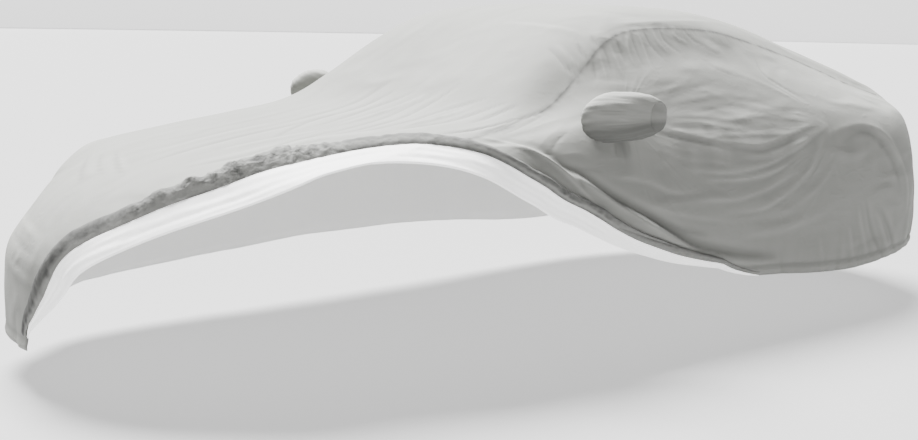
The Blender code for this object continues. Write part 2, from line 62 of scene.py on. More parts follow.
# One row for each section of the cover, from the front hem over the roof to the rear hem, as in the solids:
# the middle of the cloth, the seam, the belt under the windows, the flank and the hem.
Section = namedtuple(
    "Section",
    "spine_x spine_z edge_z seam_x seam_y seam_z belt_y belt_z flank_y flank_z hem_x hem_y hem_z",
)
SECTIONS = {
    "front hem": (-0.98, 0.152, 0.152, -0.79, 0.62, 0.165, 0.70, 0.17, 0.77, 0.175, -0.50, 0.82, 0.17),
    "low nose": (-0.99, 0.33, 0.33, -0.775, 0.64, 0.33, 0.74, 0.30, 0.82, 0.25, -0.38, 0.865, 0.20),
    "nose": (-0.985, 0.47, 0.465, -0.74, 0.645, 0.46, 0.77, 0.41, 0.86, 0.32, -0.25, 0.89, 0.21),
    "high nose": (-0.905, 0.595, 0.58, -0.635, 0.65, 0.575, 0.80, 0.52, 0.885, 0.39, -0.10, 0.90, 0.22),
    "bonnet edge": (-0.775, 0.69, 0.685, -0.525, 0.675, 0.68, 0.82, 0.60, 0.90, 0.43, 0.05, 0.905, 0.23),
    "bonnet": (-0.55, 0.77, 0.78, -0.39, 0.695, 0.77, 0.84, 0.67, 0.91, 0.46, 0.18, 0.91, 0.24),
    "front arch": (-0.20, 0.83, 0.832, -0.10, 0.70, 0.822, 0.85, 0.72, 0.91, 0.48, 0.32, 0.905, 0.25),
    "wing": (0.15, 0.88, 0.88, 0.20, 0.70, 0.862, 0.85, 0.77, 0.905, 0.50, 0.48, 0.90, 0.26),
    "scuttle": (0.42, 0.94, 0.925, 0.45, 0.69, 0.90, 0.84, 0.82, 0.90, 0.52, 0.62, 0.90, 0.27),
    "screen foot": (0.62, 1.045, 1.025, 0.66, 0.665, 0.955, 0.825, 0.86, 0.90, 0.54, 0.78, 0.90, 0.28),
    "screen": (0.86, 1.185, 1.145, 0.84, 0.64, 1.06, 0.81, 0.90, 0.90, 0.57, 0.94, 0.90, 0.28),
    "screen top": (1.08, 1.28, 1.25, 1.05, 0.605, 1.195, 0.80, 0.92, 0.90, 0.60, 1.12, 0.905, 0.28),
    "roof": (1.35, 1.325, 1.285, 1.33, 0.575, 1.24, 0.80, 0.925, 0.905, 0.62, 1.38, 0.91, 0.28),
    "roof end": (1.75, 1.32, 1.28, 1.75, 0.56, 1.23, 0.81, 0.92, 0.92, 0.60, 1.75, 0.925, 0.26),
    "rear screen": (2.15, 1.285, 1.22, 2.15, 0.55, 1.16, 0.845, 0.90, 0.93, 0.60, 2.10, 0.93, 0.23),
    "rear arch": (2.50, 1.23, 1.135, 2.50, 0.545, 1.08, 0.865, 0.875, 0.935, 0.60, 2.40, 0.93, 0.22),
    "deck": (2.87, 1.13, 1.05, 2.84, 0.54, 0.995, 0.83, 0.85, 0.915, 0.59, 2.65, 0.92, 0.235),
    "deck end": (3.16, 1.025, 0.985, 3.10, 0.53, 0.94, 0.765, 0.835, 0.875, 0.57, 2.85, 0.88, 0.24),
    "tail top": (3.38, 0.935, 0.92, 3.26, 0.525, 0.895, 0.69, 0.79, 0.80, 0.56, 3.00, 0.835, 0.25),
    "tail": (3.50, 0.76, 0.75, 3.35, 0.485, 0.74, 0.645, 0.67, 0.75, 0.49, 3.11, 0.785, 0.25),
    "low tail": (3.52, 0.52, 0.51, 3.37, 0.48, 0.50, 0.615, 0.47, 0.69, 0.38, 3.17, 0.725, 0.255),
    "rear hem": (3.46, 0.27, 0.27, 3.33, 0.475, 0.27, 0.55, 0.27, 0.61, 0.265, 3.21, 0.68, 0.245),
}

# Where the named lines of a section lie across the cloth: 0 is the spine, 1 the seam and 2 the hem.
EDGE, SEAM, BELT, FLANK, HEM = 0.8, 1.0, 1.33, 1.68, 2.0
ACROSS = np.array([-HEM, -FLANK, -BELT, -SEAM, -EDGE, 0.0, EDGE, SEAM, BELT, FLANK, HEM])
ALONG = np.arange(len(SECTIONS), dtype=float)
EDGE_SHARE_BACK, EDGE_SHARE_OUT = 0.68, 0.86
BELT_SHARE, FLANK_SHARE = 0.38, 0.70
ROOF_MIDDLE = 12.5
SOLID_CLOTH = 0.0025

# The turned-back cuff: a place along the cloth, the place across of the fold there, how wide the white band
# is and how high it stands off the cloth that it lies on, and the same for the gathered hem.
CUFF = np.array([
    (0.0, 0.215, 0.004, 0.004, 0.010, 0.006),
    (0.38, 0.170, 0.010, 0.005, 0.018, 0.008),
    (0.70, 0.035, 0.026, 0.007, 0.030, 0.014),
    (1.0, -0.075, 0.044, 0.009, 0.038, 0.020),
    (1.35, -0.165, 0.062, 0.012, 0.042, 0.025),
    (2.0, -0.275, 0.076, 0.014, 0.046, 0.030),
    (2.6, -0.43, 0.080, 0.016, 0.048, 0.034),
    (3.3, -0.60, 0.084, 0.018, 0.048, 0.036),
    (4.0, -0.78, 0.086, 0.019, 0.048, 0.036),
    (4.7, -0.94, 0.086, 0.019, 0.048, 0.036),
    (5.2, -0.972, 0.085, 0.019, 0.046, 0.034),
    (5.75, -1.01, 0.082, 0.018, 0.042, 0.030),
    (6.2, -1.15, 0.078, 0.017, 0.036, 0.024),
    (6.6, -1.37, 0.074, 0.016, 0.030, 0.020),
    (7.2, -1.525, 0.068, 0.014, 0.026, 0.017),
    (8.2, -1.65, 0.058, 0.012, 0.023, 0.015),
    (9.3, -1.775, 0.044, 0.010, 0.022, 0.014),
    (10.7, -1.885, 0.034, 0.008, 0.022, 0.012),
    (11.7, -1.94, 0.022, 0.007, 0.018, 0.010),
    (12.75, -1.985, 0.012, 0.006, 0.012, 0.008),
])
# The cuff starts, crosses the seam to the side panel and ends at these places along the cloth, and runs out
# over a last stretch. The lining is turned in under the cloth this far, and lies this far off it.
CUFF_START, SEAM_CROSSING, CUFF_END, CUFF_RUNS_OUT = 0.25, 5.75, 12.75, 0.7
TURNED_UNDER, LINING_LIFT = 0.012, 0.0045
# Columns of the lining where it bends round the edge and where it lies back, and of the hem. The hem starts
# a little under the lining, and its end lies just off the cloth.
LINING_BENDS, LINING_COLUMNS, HEM_COLUMNS = 7, 19, 31
HEM_TUCK, HEM_END_LIFT = 0.002, 0.001

# The slack of the near side lies in one long roll behind the cuff: where its crest runs, along and across,
# and how proud it is.
ROLL = np.array([
    (6.6, -1.03, 0.0),
    (7.35, -1.22, 0.012),
    (7.75, -1.385, 0.020),
    (8.45, -1.50, 0.028),
    (9.1, -1.59, 0.031),
    (9.8, -1.675, 0.031),
    (10.7, -1.785, 0.029),
    (11.6, -1.89, 0.022),
    (12.4, -1.94, 0.014),
    (13.2, -1.965, 0.0),
])
# How far the roll reaches above its crest and below it, and where the hollow above it lies.
ROLL_UPPER, ROLL_LOWER, ROLL_HOLLOW = 0.022, 0.12, 0.035

# A mirror pocket, ring by ring from the panel out: half width, station and height of its middle, and the
# half length and half height of the ring.
Ring = namedtuple("Ring", "out station height half_length half_height")
POCKET = (
    Ring(0.835, 0.830, 0.905, 0.100, 0.046),
    Ring(0.855, 0.765, 0.925, 0.132, 0.075),
    Ring(0.885, 0.765, 0.933, 0.134, 0.083),
    Ring(0.925, 0.800, 0.935, 0.120, 0.081),
    Ring(0.962, 0.845, 0.936, 0.094, 0.072),
    Ring(0.985, 0.897, 0.937, 0.045, 0.053),
)
POCKET_TIP = 0.012
POCKET_ROUNDNESS = 2.2
POCKET_PULLED_BACK = {"left": 0.0, "right": 0.055}
OUT = {"left": -1, "right": 1}
# Points round a pocket, rings along its sleeve and its cap, and how close to a sewn edge one more ring lies.
POCKET_TURNS, SLEEVE_RINGS, CAP_RINGS = 97, 26, 9
RING_HOLD, CAP_HOLD, SAME_POINT = 0.02, 0.985, 1e-6
# The sleeve starts a little wider than the hole and behind the cloth, and the cap stands off the sleeve.
POCKET_OVERLAP, POCKET_SUNK, PIECE_GAP = 0.004, 0.002, 0.0003
# The cut edge is looked for within this many radii of the hole, and the cloth from this far out.
HOLE_RIM, BEYOND_PANEL = 1.35, 2.0
# Gathers in the round of the sleeve, rounds of smoothing for its hollows, and the shade of its end.
POCKET_GATHERS, POCKET_ROUNDS, END_SHADE = 26, 3, 0.14

# The stage, in metres, and the sun, in degrees.
FLOOR_HALF_SIDE, WALL_RADIUS, WALL_SIDES, VIEW_END = 70.0, 69.0, 64, 300.0
SUN_SPREAD, SUN_TURNS = 36, (-24, 7, 0)

# Folds, placed one by one. A row gives a fold's width at its start and at its end and its height in
# millimetres, how sharp it is and how it leans, and then the places that it runs through, along and across by
# turns, from the front to the rear or from the seam down. A height below zero is pressed in. A sharp fold has
# a narrow crest on a soft foot, and one that leans is steeper below its crest than above.
Fold = namedtuple("Fold", "width_start width_end height sharp lean path")
FOLDS = (
    # Long soft folds from the bonnet up to the foot of the screen.
    (16, 11, -6.4, 0.5, 0, 6.2, -0.1, 6.95, 0.07, 7.9, 0.05, 8.5, 0.01),
    (18, 14, -4, 0.4, 0, 6.6, 0.16, 7.4, 0.16, 8.3, 0.14, 8.8, 0.12),
    (16, 11, -6.4, 0.5, 0, 6.8, -0.06, 7.8, -0.03, 8.5, -0.14),
    (14, 11, 6.4, 0.5, 0, 6.9, -0.15, 7.7, -0.16, 8.4, -0.24),
    (13, 11, -4.8, 0.5, 0, 6.5, -0.28, 7.2, -0.27, 7.9, -0.24, 8.5, -0.3),
    (14, 11, -7.2, 0.6, 0, 6.5, -0.35, 7.2, -0.36, 8.0, -0.33, 8.7, -0.39),
    (14, 11, -7.2, 0.6, 0, 6.6, -0.41, 7.3, -0.45, 7.9, -0.47, 8.5, -0.65),
    (13, 11, 6.4, 0.6, 0, 7.0, -0.52, 7.6, -0.54, 8.2, -0.6),
    (13, 9, -7.2, 0.6, 0, 6.8, -0.56, 7.4, -0.63, 8.0, -0.68, 8.5, -0.78),
    (11, 8, -6.4, 0.6, 0, 7.6, -0.76, 8.1, -0.8, 8.6, -0.86),
    (22, 16, -5.6, 0.3, 0, 4.9, 0.04, 5.8, 0.09, 6.4, 0.09, 7.4, 0.09),
    (27, 23, 4.8, 0.2, 0, 5.1, 0.18, 5.9, 0.21, 6.7, 0.2),
    (20, 16, -5.6, 0.3, 0, 4.9, -0.22, 5.4, -0.32, 6.0, -0.29, 6.7, -0.25),
    (20, 18, 4.8, 0.3, 0, 5.6, -0.1, 6.1, -0.14, 6.6, -0.18),
    (16, 13, -5.6, 0.4, 0, 5.5, -0.4, 5.8, -0.35, 6.35, -0.41),
    # Short creases where the cloth turns over the nose.
    (8, 12, -3.2, 0.5, 0, 4.7, 0.56, 4.35, 0.4, 4.1, 0.24),
    (8, 10, -2.7, 0.5, 0, 4.85, 0.48, 4.6, 0.33, 4.4, 0.16),
    (8, 12, -3.6, 0.5, 0, 5.0, 0.42, 4.75, 0.22, 4.5, 0.02),
    (8, 9, 3.2, 0.5, 0, 4.95, 0.33, 4.8, 0.2, 4.65, 0.08),
    (19, 16, 3.6, 0.2, 0, 2.75, 0.7, 2.6, 0.3, 2.45, 0.08),
    (16, 13, -3.2, 0.3, 0, 2.35, 0.6, 2.2, 0.28, 2.1, 0.06),
    (17, 13, 3.6, 0.2, 0, 1.7, 0.5, 1.5, 0.25, 1.45, 0.08),
    # The swell of the cloth behind the hem, over the bonnet.
    (50, 45, 7, 0.1, 0, 4.9, -0.24, 5.8, -0.3, 6.5, -0.42, 7.1, -0.7),
    # Folds at the foot of the pillar that twist down into the roll.
    (13, 7, -11, 0.7, 0, 7.0, -0.82, 7.5, -0.89, 8.0, -0.94, 8.9, -1.01),
    (10, 7, 7, 0.6, 0, 7.4, -0.92, 7.9, -0.95, 8.4, -0.97),
    (10, 6, -8, 0.7, 0, 7.3, -0.985, 7.7, -0.98, 8.2, -0.99, 8.7, -1.0),
    # The screen's header, the roof's edge and the short creases at the pillar.
    (30, 22, 5, 0.5, 0, 10.6, -0.16, 10.45, -0.54, 10.7, -0.86),
    (14, 14, 3, 0.5, 0, 11.4, -0.87, 11.9, -0.93, 12.6, -0.91, 13.6, -0.78),
    (10, 9, -3, 0.5, 0, 11.0, -0.955, 11.6, -0.96, 12.1, -0.98, 12.8, -0.99),
    (11, 8, -6, 0.7, 0, 9.93, -0.7, 9.93, -0.87, 10.03, -1.0),
    (11, 8, 4, 0.6, 0, 10.1, -0.72, 10.1, -0.87, 10.2, -0.98),
    (10, 8, -4.5, 0.6, 0, 10.45, -0.84, 10.4, -0.92, 10.45, -0.99),
    (9, 8, -4, 0.6, 0, 10.8, -0.88, 10.75, -0.94, 10.8, -0.99),
    # The cloth stands a little proud of the far wing.
    (70, 70, 12, 0, 0, 3.8, 0.78, 4.3, 0.84, 5.2, 0.95),
    # Flutes where the elastic gathers the rear hem.
    (30, 45, 10, 0.3, 0, 17.2, -1.8, 17.3, -1.9, 17.5, -2.0),
    (20, 30, -6, 0.3, 0, 18.0, -1.84, 18.1, -1.92, 18.2, -2.0),
    (30, 45, 10, 0.3, 0, 19.0, -1.76, 19.2, -1.88, 19.4, -2.0),
    (30, 45, 10, 0.3, 0, 18.4, 1.78, 18.6, 1.89, 18.8, 2.0),
    (24, 40, 6, 0.3, 0, 19.6, -0.5, 20.2, -0.48, 21.0, -0.52),
    (26, 40, 6, 0.3, 0, 19.3, 0.14, 20.1, 0.1, 21.0, 0.12),
    (24, 36, -5, 0.3, 0, 19.4, 0.72, 20.2, 0.66, 21.0, 0.7),
    # Slack drawn from the tail's shoulders down to its corners.
    (16, 24, -5, 0.5, 0, 17.6, -1.08, 18.3, -1.16, 19.2, -1.2),
    (16, 24, -5, 0.5, 0, 17.4, 1.1, 18.2, 1.2, 19.3, 1.22),
    (22, 26, 4, 0.3, 0, 17.8, -0.7, 18.6, -0.82, 19.5, -0.8),
    (22, 26, 4, 0.3, 0, 17.7, 0.6, 18.5, 0.76, 19.4, 0.74),
)
# Folds of the near side alone, between its cuff and the pillar.
NEAR_FOLDS = (
    (12, 9, -2.7, 0.6, 0, 7.6, -1.06, 8.2, -1.045, 8.8, -1.03),
    (14, 12, 2.3, 0.5, 0, 7.9, -1.12, 8.4, -1.1, 8.9, -1.12),
    (22, 18, 3.2, 0.4, 0, 7.7, -1.27, 8.2, -1.22, 8.8, -1.18),
    (14, 12, -3.2, 0.6, 0, 7.9, -1.325, 8.2, -1.28, 8.6, -1.25),
    (10, 8, -2.7, 0.7, 0, 7.6, -1.27, 7.75, -1.315, 7.95, -1.34),
    (18, 16, 2.7, 0.4, 0, 7.85, -1.35, 8.4, -1.375, 8.9, -1.415),
    (14, 14, -2.3, 0.5, 0, 8.1, -1.41, 8.7, -1.455, 9.2, -1.49),
    (20, 20, 1.4, 0.4, 0, 8.8, -1.43, 9.4, -1.45, 10.0, -1.48),
    # Second crests that the roll throws up towards the cuff, and the grooves beside them.
    (16, 14, 11, 0.6, 0.4, 7.3, -1.14, 7.45, -1.27, 7.8, -1.4, 8.1, -1.48, 8.6, -1.58, 9.1, -1.65),
    (12, 10, 8, 0.6, 0.4, 7.3, -1.02, 7.4, -1.14, 7.5, -1.27, 7.8, -1.36),
    (10, 10, -6, 0.6, 0, 7.4, -1.2, 7.7, -1.335, 8.1, -1.44, 8.4, -1.52),
    (12, 8, -10, 0.7, 0, 8.9, -1.665, 9.3, -1.7, 10.0, -1.765, 10.7, -1.822, 11.7, -1.897, 12.2, -1.93),
    (22, 20, -9, 0.4, 0, 9.8, -1.635, 10.5, -1.72, 11.2, -1.79, 11.9, -1.84),
    # The slack that hangs from the door towards the roll.
    (26, 24, 5, 0.3, 0.5, 9.2, -1.5, 10.4, -1.57, 11.1, -1.64, 11.8, -1.67),
    (26, 26, 4, 0.3, 0.5, 9.9, -1.61, 10.8, -1.7, 11.6, -1.76, 12.4, -1.8),
)
# Folds of both sides, as the near side has them.
SIDE_FOLDS = (
    # The cloth hollows over the side windows and bellies over the shoulder and the door.
    (85, 85, -13, 0, 0, 9.6, -1.11, 11.0, -1.12, 12.5, -1.11, 14.4, -1.11),
    (110, 100, 18, 0, 0, 10.3, -1.44, 11.6, -1.47, 13.0, -1.48, 14.2, -1.42),
    # Pleats let into the seam along the pillar and the roof.
    (10, 12, -2.6, 0.6, 0, 10.5, -1.02, 10.4, -1.07, 10.3, -1.1),
    (10, 14, 3.3, 0.6, 0, 10.7, -1.02, 10.6, -1.09, 10.5, -1.14),
    (10, 14, -4, 0.6, 0, 10.85, -1.02, 10.8, -1.08, 10.7, -1.14),
    (10, 18, 4, 0.6, 0, 11.0, -1.02, 10.95, -1.1, 10.9, -1.17),
    (9, 14, -4.6, 0.6, 0, 11.2, -1.02, 11.2, -1.06, 11.15, -1.13),
    (10, 18, 4, 0.6, 0, 11.5, -1.02, 11.35, -1.08, 11.3, -1.15),
    (9, 16, -4.6, 0.6, 0, 11.6, -1.02, 11.55, -1.08, 11.5, -1.16),
    (9, 18, 4, 0.6, 0, 11.75, -1.02, 11.7, -1.1, 11.6, -1.18),
    (9, 14, -4, 0.6, 0, 11.9, -1.02, 11.9, -1.08, 12.0, -1.14),
    (9, 12, 3.3, 0.6, 0, 12.05, -1.02, 12.05, -1.07, 12.15, -1.12),
    (9, 12, -3.3, 0.6, 0, 12.2, -1.02, 12.2, -1.07, 12.35, -1.12),
    (8, 10, 2.6, 0.6, 0, 12.4, -1.02, 12.4, -1.05, 12.55, -1.08),
    (10, 12, -2.6, 0.6, 0, 12.6, -1.02, 12.65, -1.06, 12.85, -1.1),
    # The fan of fine folds behind the mirror pocket.
    (10, 13, 1.4, 0.5, 0.4, 11.5, -1.265, 11.9, -1.235, 12.3, -1.205),
    (10, 13, -1.9, 0.5, 0, 11.5, -1.28, 12.1, -1.25, 12.6, -1.225),
    (10, 14, 2.2, 0.5, 0.4, 11.6, -1.295, 12.2, -1.28, 12.7, -1.27),
    (12, 14, 1.7, 0.5, 0.4, 12.5, -1.265, 12.9, -1.28, 13.3, -1.3),
    (10, 12, -2.2, 0.6, 0, 11.6, -1.315, 12.1, -1.33, 12.6, -1.315, 13.1, -1.335),
    (10, 13, 2.4, 0.6, 0.4, 11.4, -1.345, 12.0, -1.35, 12.5, -1.37, 12.9, -1.36, 13.4, -1.35),
    (10, 13, 3.1, 0.6, 0.4, 11.3, -1.365, 11.9, -1.375, 12.3, -1.4, 12.8, -1.425),
    (9, 10, -2.6, 0.6, 0, 11.3, -1.385, 11.8, -1.4, 12.3, -1.415),
    (10, 14, 3.1, 0.6, 0.4, 11.0, -1.385, 11.5, -1.415, 12.0, -1.45, 12.5, -1.49),
    (10, 14, -3.3, 0.6, 0, 10.9, -1.4, 11.4, -1.435, 11.9, -1.47, 12.4, -1.515),
    (10, 12, 1.4, 0.5, 0, 10.8, -1.43, 11.3, -1.475, 11.9, -1.51),
    (12, 18, 2.2, 0.5, 0.4, 10.5, -1.44, 11.2, -1.5, 11.7, -1.54, 12.4, -1.56),
    (10, 10, -1.7, 0.5, 0, 13.2, -1.33, 13.5, -1.33, 14.0, -1.33),
    (12, 12, 1.7, 0.5, 0, 13.3, -1.36, 13.7, -1.37, 14.0, -1.375),
    # Folds that sag across the door and draw together at the rear arch.
    (12, 13, 3, 0.5, 0.4, 11.8, -1.455, 12.4, -1.44, 12.9, -1.44, 13.4, -1.44),
    (12, 14, 4.3, 0.5, 0.5, 12.2, -1.465, 12.7, -1.49, 13.1, -1.47, 13.5, -1.43, 14.0, -1.385),
    (12, 12, -3, 0.5, 0, 12.3, -1.5, 12.8, -1.515, 13.2, -1.49, 13.7, -1.44),
    (13, 15, 4.3, 0.5, 0.5, 12.5, -1.54, 13.0, -1.535, 13.4, -1.5, 13.8, -1.45, 14.1, -1.405),
    (18, 18, 5.6, 0.4, 0.5, 11.5, -1.57, 12.2, -1.6, 12.8, -1.575, 13.3, -1.525, 13.7, -1.47),
    (18, 20, 4.3, 0.4, 0.5, 11.8, -1.63, 12.5, -1.63, 13.0, -1.6, 13.5, -1.54),
    (20, 22, 4.3, 0.3, 0.5, 11.6, -1.7, 12.3, -1.71, 12.8, -1.675, 13.4, -1.61),
    (20, 22, 3.6, 0.3, 0.5, 12.1, -1.76, 12.7, -1.75, 13.1, -1.71, 13.5, -1.66),
    (30, 36, 3.3, 0.2, 0.4, 12.4, -1.85, 13.2, -1.83, 14.2, -1.77),
    (18, 20, 3.3, 0.3, 0, 13.2, -1.69, 13.6, -1.62, 13.8, -1.54, 14.0, -1.45),
    (20, 22, 2.6, 0.3, 0, 13.4, -1.75, 13.9, -1.67, 14.2, -1.59),
    (10, 12, -3.6, 0.6, 0, 13.6, -1.11, 13.5, -1.18, 13.7, -1.23, 14.0, -1.28),
    (14, 16, 2.6, 0.5, 0, 13.0, -1.185, 13.4, -1.23, 13.8, -1.28),
    (12, 12, -2, 0.5, 0, 12.6, -1.15, 12.8, -1.19, 13.1, -1.21),
    # The cloth stretched over the rear arch, and slack inside it.
    (22, 22, 5.9, 0.5, 0, 14.0, -1.46, 14.3, -1.42, 14.7, -1.39, 15.1, -1.39, 15.6, -1.45, 16.0, -1.55,
     16.5, -1.66, 16.8, -1.76, 17.0, -1.86),
    (30, 30, -7.3, 0.2, 0, 14.3, -1.5, 14.8, -1.435, 15.15, -1.44, 15.6, -1.52, 16.0, -1.63, 16.4, -1.76),
    (70, 70, -7.9, 0, 0, 14.2, -1.62, 14.7, -1.54, 15.3, -1.54, 16.0, -1.66),
    # Flutes where the elastic gathers the hem behind the arch.
    (20, 30, 2, 0.3, 0, 13.9, -1.86, 14.1, -2.0),
    (16, 24, 3, 0.4, 0, 14.6, -1.84, 14.9, -2.0),
    (14, 22, 3.3, 0.4, 0, 14.8, -1.78, 15.0, -1.87, 15.4, -2.0),
    (14, 22, -4.6, 0.5, 0, 15.0, -1.76, 15.3, -1.87, 15.9, -2.0),
    (14, 22, 4.3, 0.4, 0, 15.3, -1.8, 15.8, -1.91, 16.2, -2.0),
    (14, 22, -5.3, 0.5, 0, 15.5, -1.8, 16.2, -1.92, 16.6, -2.0),
    # Gathers under the mirror pocket.
    (14, 12, -2.5, 0.3, 0, 9.75, -1.39, 9.65, -1.45),
    (11, 11, -2, 0.6, 0, 10.1, -1.4, 10.1, -1.47),
    (9, 12, 1.5, 0.5, 0, 9.9, -1.41, 9.8, -1.49),
)
# Crevices in which hardly any light falls, with how dark each is in place of its height.
CREVICES = (
    (18, 14, 0.35, 0, 0, 9.8, -1.625, 10.5, -1.712, 11.2, -1.78, 11.9, -1.83),
    (10, 12, 0.1, 0, 0, 8.7, -1.53, 9.2, -1.575, 9.9, -1.66),
    (6, 5, 0.9, 0, 0, 8.6, -1.655, 9.3, -1.695, 10.0, -1.762, 10.7, -1.82, 11.7, -1.893, 12.1, -1.92),
    (8, 8, 0.2, 0, 0, 7.2, -0.995, 7.3, -1.1, 7.35, -1.22, 7.6, -1.345, 7.9, -1.43, 8.3, -1.52),
    (9, 6, 0.8, 0, 0, 7.0, -0.82, 7.5, -0.89, 8.0, -0.94, 8.9, -1.01),
    (8, 6, 0.7, 0, 0, 7.1, -0.99, 7.7, -0.98, 8.2, -0.99, 8.7, -1.0),
    (12, 9, 0.3, 0, 0, 7.1, -1.06, 7.5, -1.1, 7.9, -1.11, 8.4, -1.12),
    (36, 26, 0.6, 0, 0, 9.8, -1.375, 9.9, -1.41, 9.9, -1.48),
    (16, 14, 0.25, 0, 0, 9.0, -1.33, 9.2, -1.4, 9.6, -1.43),
    (8, 9, 0.3, 0, 0, 11.0, -1.395, 11.4, -1.43, 11.9, -1.465, 12.4, -1.51),
    (8, 8, 0.15, 0, 0, 11.5, -1.28, 12.1, -1.25, 12.6, -1.225),
)
# The far side's folds start further back along the cloth and are a little lower.
FAR_SHIFT, FAR_HEIGHT = 0.2, 0.9
# How a fold is drawn: straight steps of its line, how it fades at its ends, how many of its widths it reaches
# to each side, and how steeply a sharp crest falls.
FOLD_STEPS, FOLD_FADE, FOLD_REACH, CREST_FALL = 14, 0.7, 4.0, 2.2
MILLIMETRES = 1000.0
# The door ends here. Its fine creases show as much as given at these places along and across, and are drawn
# in arcs from the pocket to the hip of the rear arch, both given as x and z from the origin.
DOOR_END = 14.2
DOOR_ALONG = (9.8, 10.8, 13.7, 14.6), (0.0, 1.0, 1.0, 0.0)
DOOR_ACROSS = (1.14, 1.24, 1.75, 1.92), (0.0, 1.0, 0.8, 0.2)
POCKET_END, ARCH_HIP, ARCH_REACH = (-0.60, -0.40), (0.66, -0.48), 0.35
# The depth of a fold at which its trough is darkest, and the rounds of smoothing that it is measured from.
FULL_HOLLOW, HOLLOW_ROUNDS = 0.0014, 5
# The dark line of a sewn edge, and how close to a cut edge one more column holds its rounding.
SEAM_WIDTH, EDGE_HOLD = 0.011, 0.0006
# How many metres one step across or along the cloth covers near its edges, and the casing of the elastic.
SIDE_REACH, FRONT_REACH, REAR_REACH = 0.95, 0.18, 0.25
CASING_WIDTH, CASING_DEPTH, STITCH_WIDTH, CASING_FULLNESS = 0.034, 0.0028, 0.007, 0.012
# Steps at which the cloth is drawn, columns of a panel, and steps at which its slopes are felt for.
CENTRE_STEP, CENTRE_COLUMNS = 0.0125, 114
DOOR_STEP, REAR_STEP, NEAR_COLUMNS = 0.0085, 0.0145, 112
LINE_SAMPLES, CUFF_SAMPLES, ROLL_SAMPLES = 400, 500, 40
SLOPE_STEP, CUFF_SLOPE_STEP = 0.01, 0.02

# Chance forms: the size of their waves, in metres or in shares of a strip or a pocket, and their seed.
Waves = namedtuple("Waves", "size seed")
SMALL_GATHERS, LARGE_GATHERS = Waves((0.034, 0.034, 0.16), 2.6), Waves((0.075, 0.075, 0.40), 5.2)
PUCKERS = Waves((0.026, 0.10, 0.05), 4.8)
UNEVEN_FOLDS, UNEVEN_SEAM = Waves(0.10, 12.5), Waves(0.045, 0.0)
FINE_NIBBLES, LONG_NIBBLES = Waves(0.018, 4.4), Waves(0.05, 2.2)
LONG_STREAKS, SHORT_STREAKS = Waves((0.40, 0.24, 1.0), 6.1), Waves((0.14, 0.20, 1.0), 8.7)
LARGE_LUMPS, SMALL_LUMPS = Waves((0.085, 1.6, 1.0), 3.1), Waves((0.035, 0.9, 1.0), 5.7)
HEM_GATHERS, FINE_GATHERS = Waves((0.040, 0.34, 1.0), 9.2), Waves((0.020, 0.22, 1.0), 1.4)
POCKET_FOLDS, POCKET_CREASES = Waves((0.42, 0.42, 0.60), 3.7), Waves((0.17, 0.17, 0.30), 6.4)
BROKEN_STITCHES = Waves(0.03, 3.3)
# Uneven slack all over the cloth, in waves drawn out lengthwise, with their heights in metres.
SLACK = ((Waves((0.70, 0.22, 0.22), 0.0), 0.0030), (Waves((0.26, 0.075, 0.075), 7.3), 0.0012))

# The stretches of the turned-back hem: places along the cloth, and how much each shows there.
HEM_STRETCHES = {
    "nose": ((2.6, 3.4), (1.0, 0.0)),
    "bonnet": ((2.6, 3.4, 5.0, 5.7), (0.0, 1.0, 1.0, 0.0)),
    "wing": ((5.0, 5.7, 8.4, 9.2), (0.0, 1.0, 1.0, 0.0)),
    "door": ((8.4, 9.2), (0.0, 1.0)),
}

# ---------------------------------------------------------------------------
# The camera
# ---------------------------------------------------------------------------

PHOTO_WIDTH, PHOTO_HEIGHT = 918, 440
FOCAL_PIXELS = 1424.2
OPTICAL_CENTRE = (427.94, 221.95)
CAMERA_PLACE = (-3.1477, -4.1364, 1.3003)
CAMERA_YAW, CAMERA_PITCH, CAMERA_ROLL = 0.8214, 0.1486, 0.018
SENSOR = 36.0


def clamp(values):
    return np.clip(values, 0.0, 1.0)


def bell(distance, width):
    """1 at no distance, and next to nothing at twice the width."""
    return np.exp(-((distance / width) ** 2))


def unit(vectors):
    return vectors / np.linalg.norm(vectors, axis=-1, keepdims=True)


def hermite(start, end, slope_in, slope_out, step, u):
    """Cubic between two values that leaves and arrives at the given slopes."""
    first = start * (1 + 2 * u) * (1 - u) ** 2 + slope_in * step * u * (1 - u) ** 2
    second = end * u**2 * (3 - 2 * u) - slope_out * step * u**2 * (1 - u)
    return first + second


def interval(knots, at):
    """For each of at, the knot that it follows, the step to the next knot and the share of that step."""
    k = np.clip(np.searchsorted(knots, at, side="right") - 1, 0, len(knots) - 2)
    step = knots[k + 1] - knots[k]
    return k, step, (at - knots[k]) / step


def spline(knots, values, at):
    """Smooth curve through values, one for each knot, read at each of at."""
    slopes = np.gradient(values, knots, axis=0)
    k, step, u = interval(knots, at)
    shape = (-1,) + (1,) * (values.ndim - 1)
    return hermite(
        values[k], values[k + 1], slopes[k], slopes[k + 1], step.reshape(shape), u.reshape(shape)
    )


def named_lines(section):
    """The points of one section on the named lines, from the left hem to the right hem."""
    reach = section.hem_x - section.seam_x
    edge_x = section.spine_x + EDGE_SHARE_BACK * (section.seam_x - section.spine_x)
    half = [
        (section.spine_x, 0.0, section.spine_z),
        (edge_x, EDGE_SHARE_OUT * section.seam_y, section.edge_z),
        (section.seam_x, section.seam_y, section.seam_z),
        (section.seam_x + BELT_SHARE * reach, section.belt_y, section.belt_z),
        (section.seam_x + FLANK_SHARE * reach, section.flank_y, section.flank_z),
        (section.hem_x, section.hem_y, section.hem_z),
    ]
    left = [(x, -y, z) for x, y, z in half[:0:-1]]
    return np.array(left + half)


LINES = np.array([named_lines(Section(*row)) for row in SECTIONS.values()])


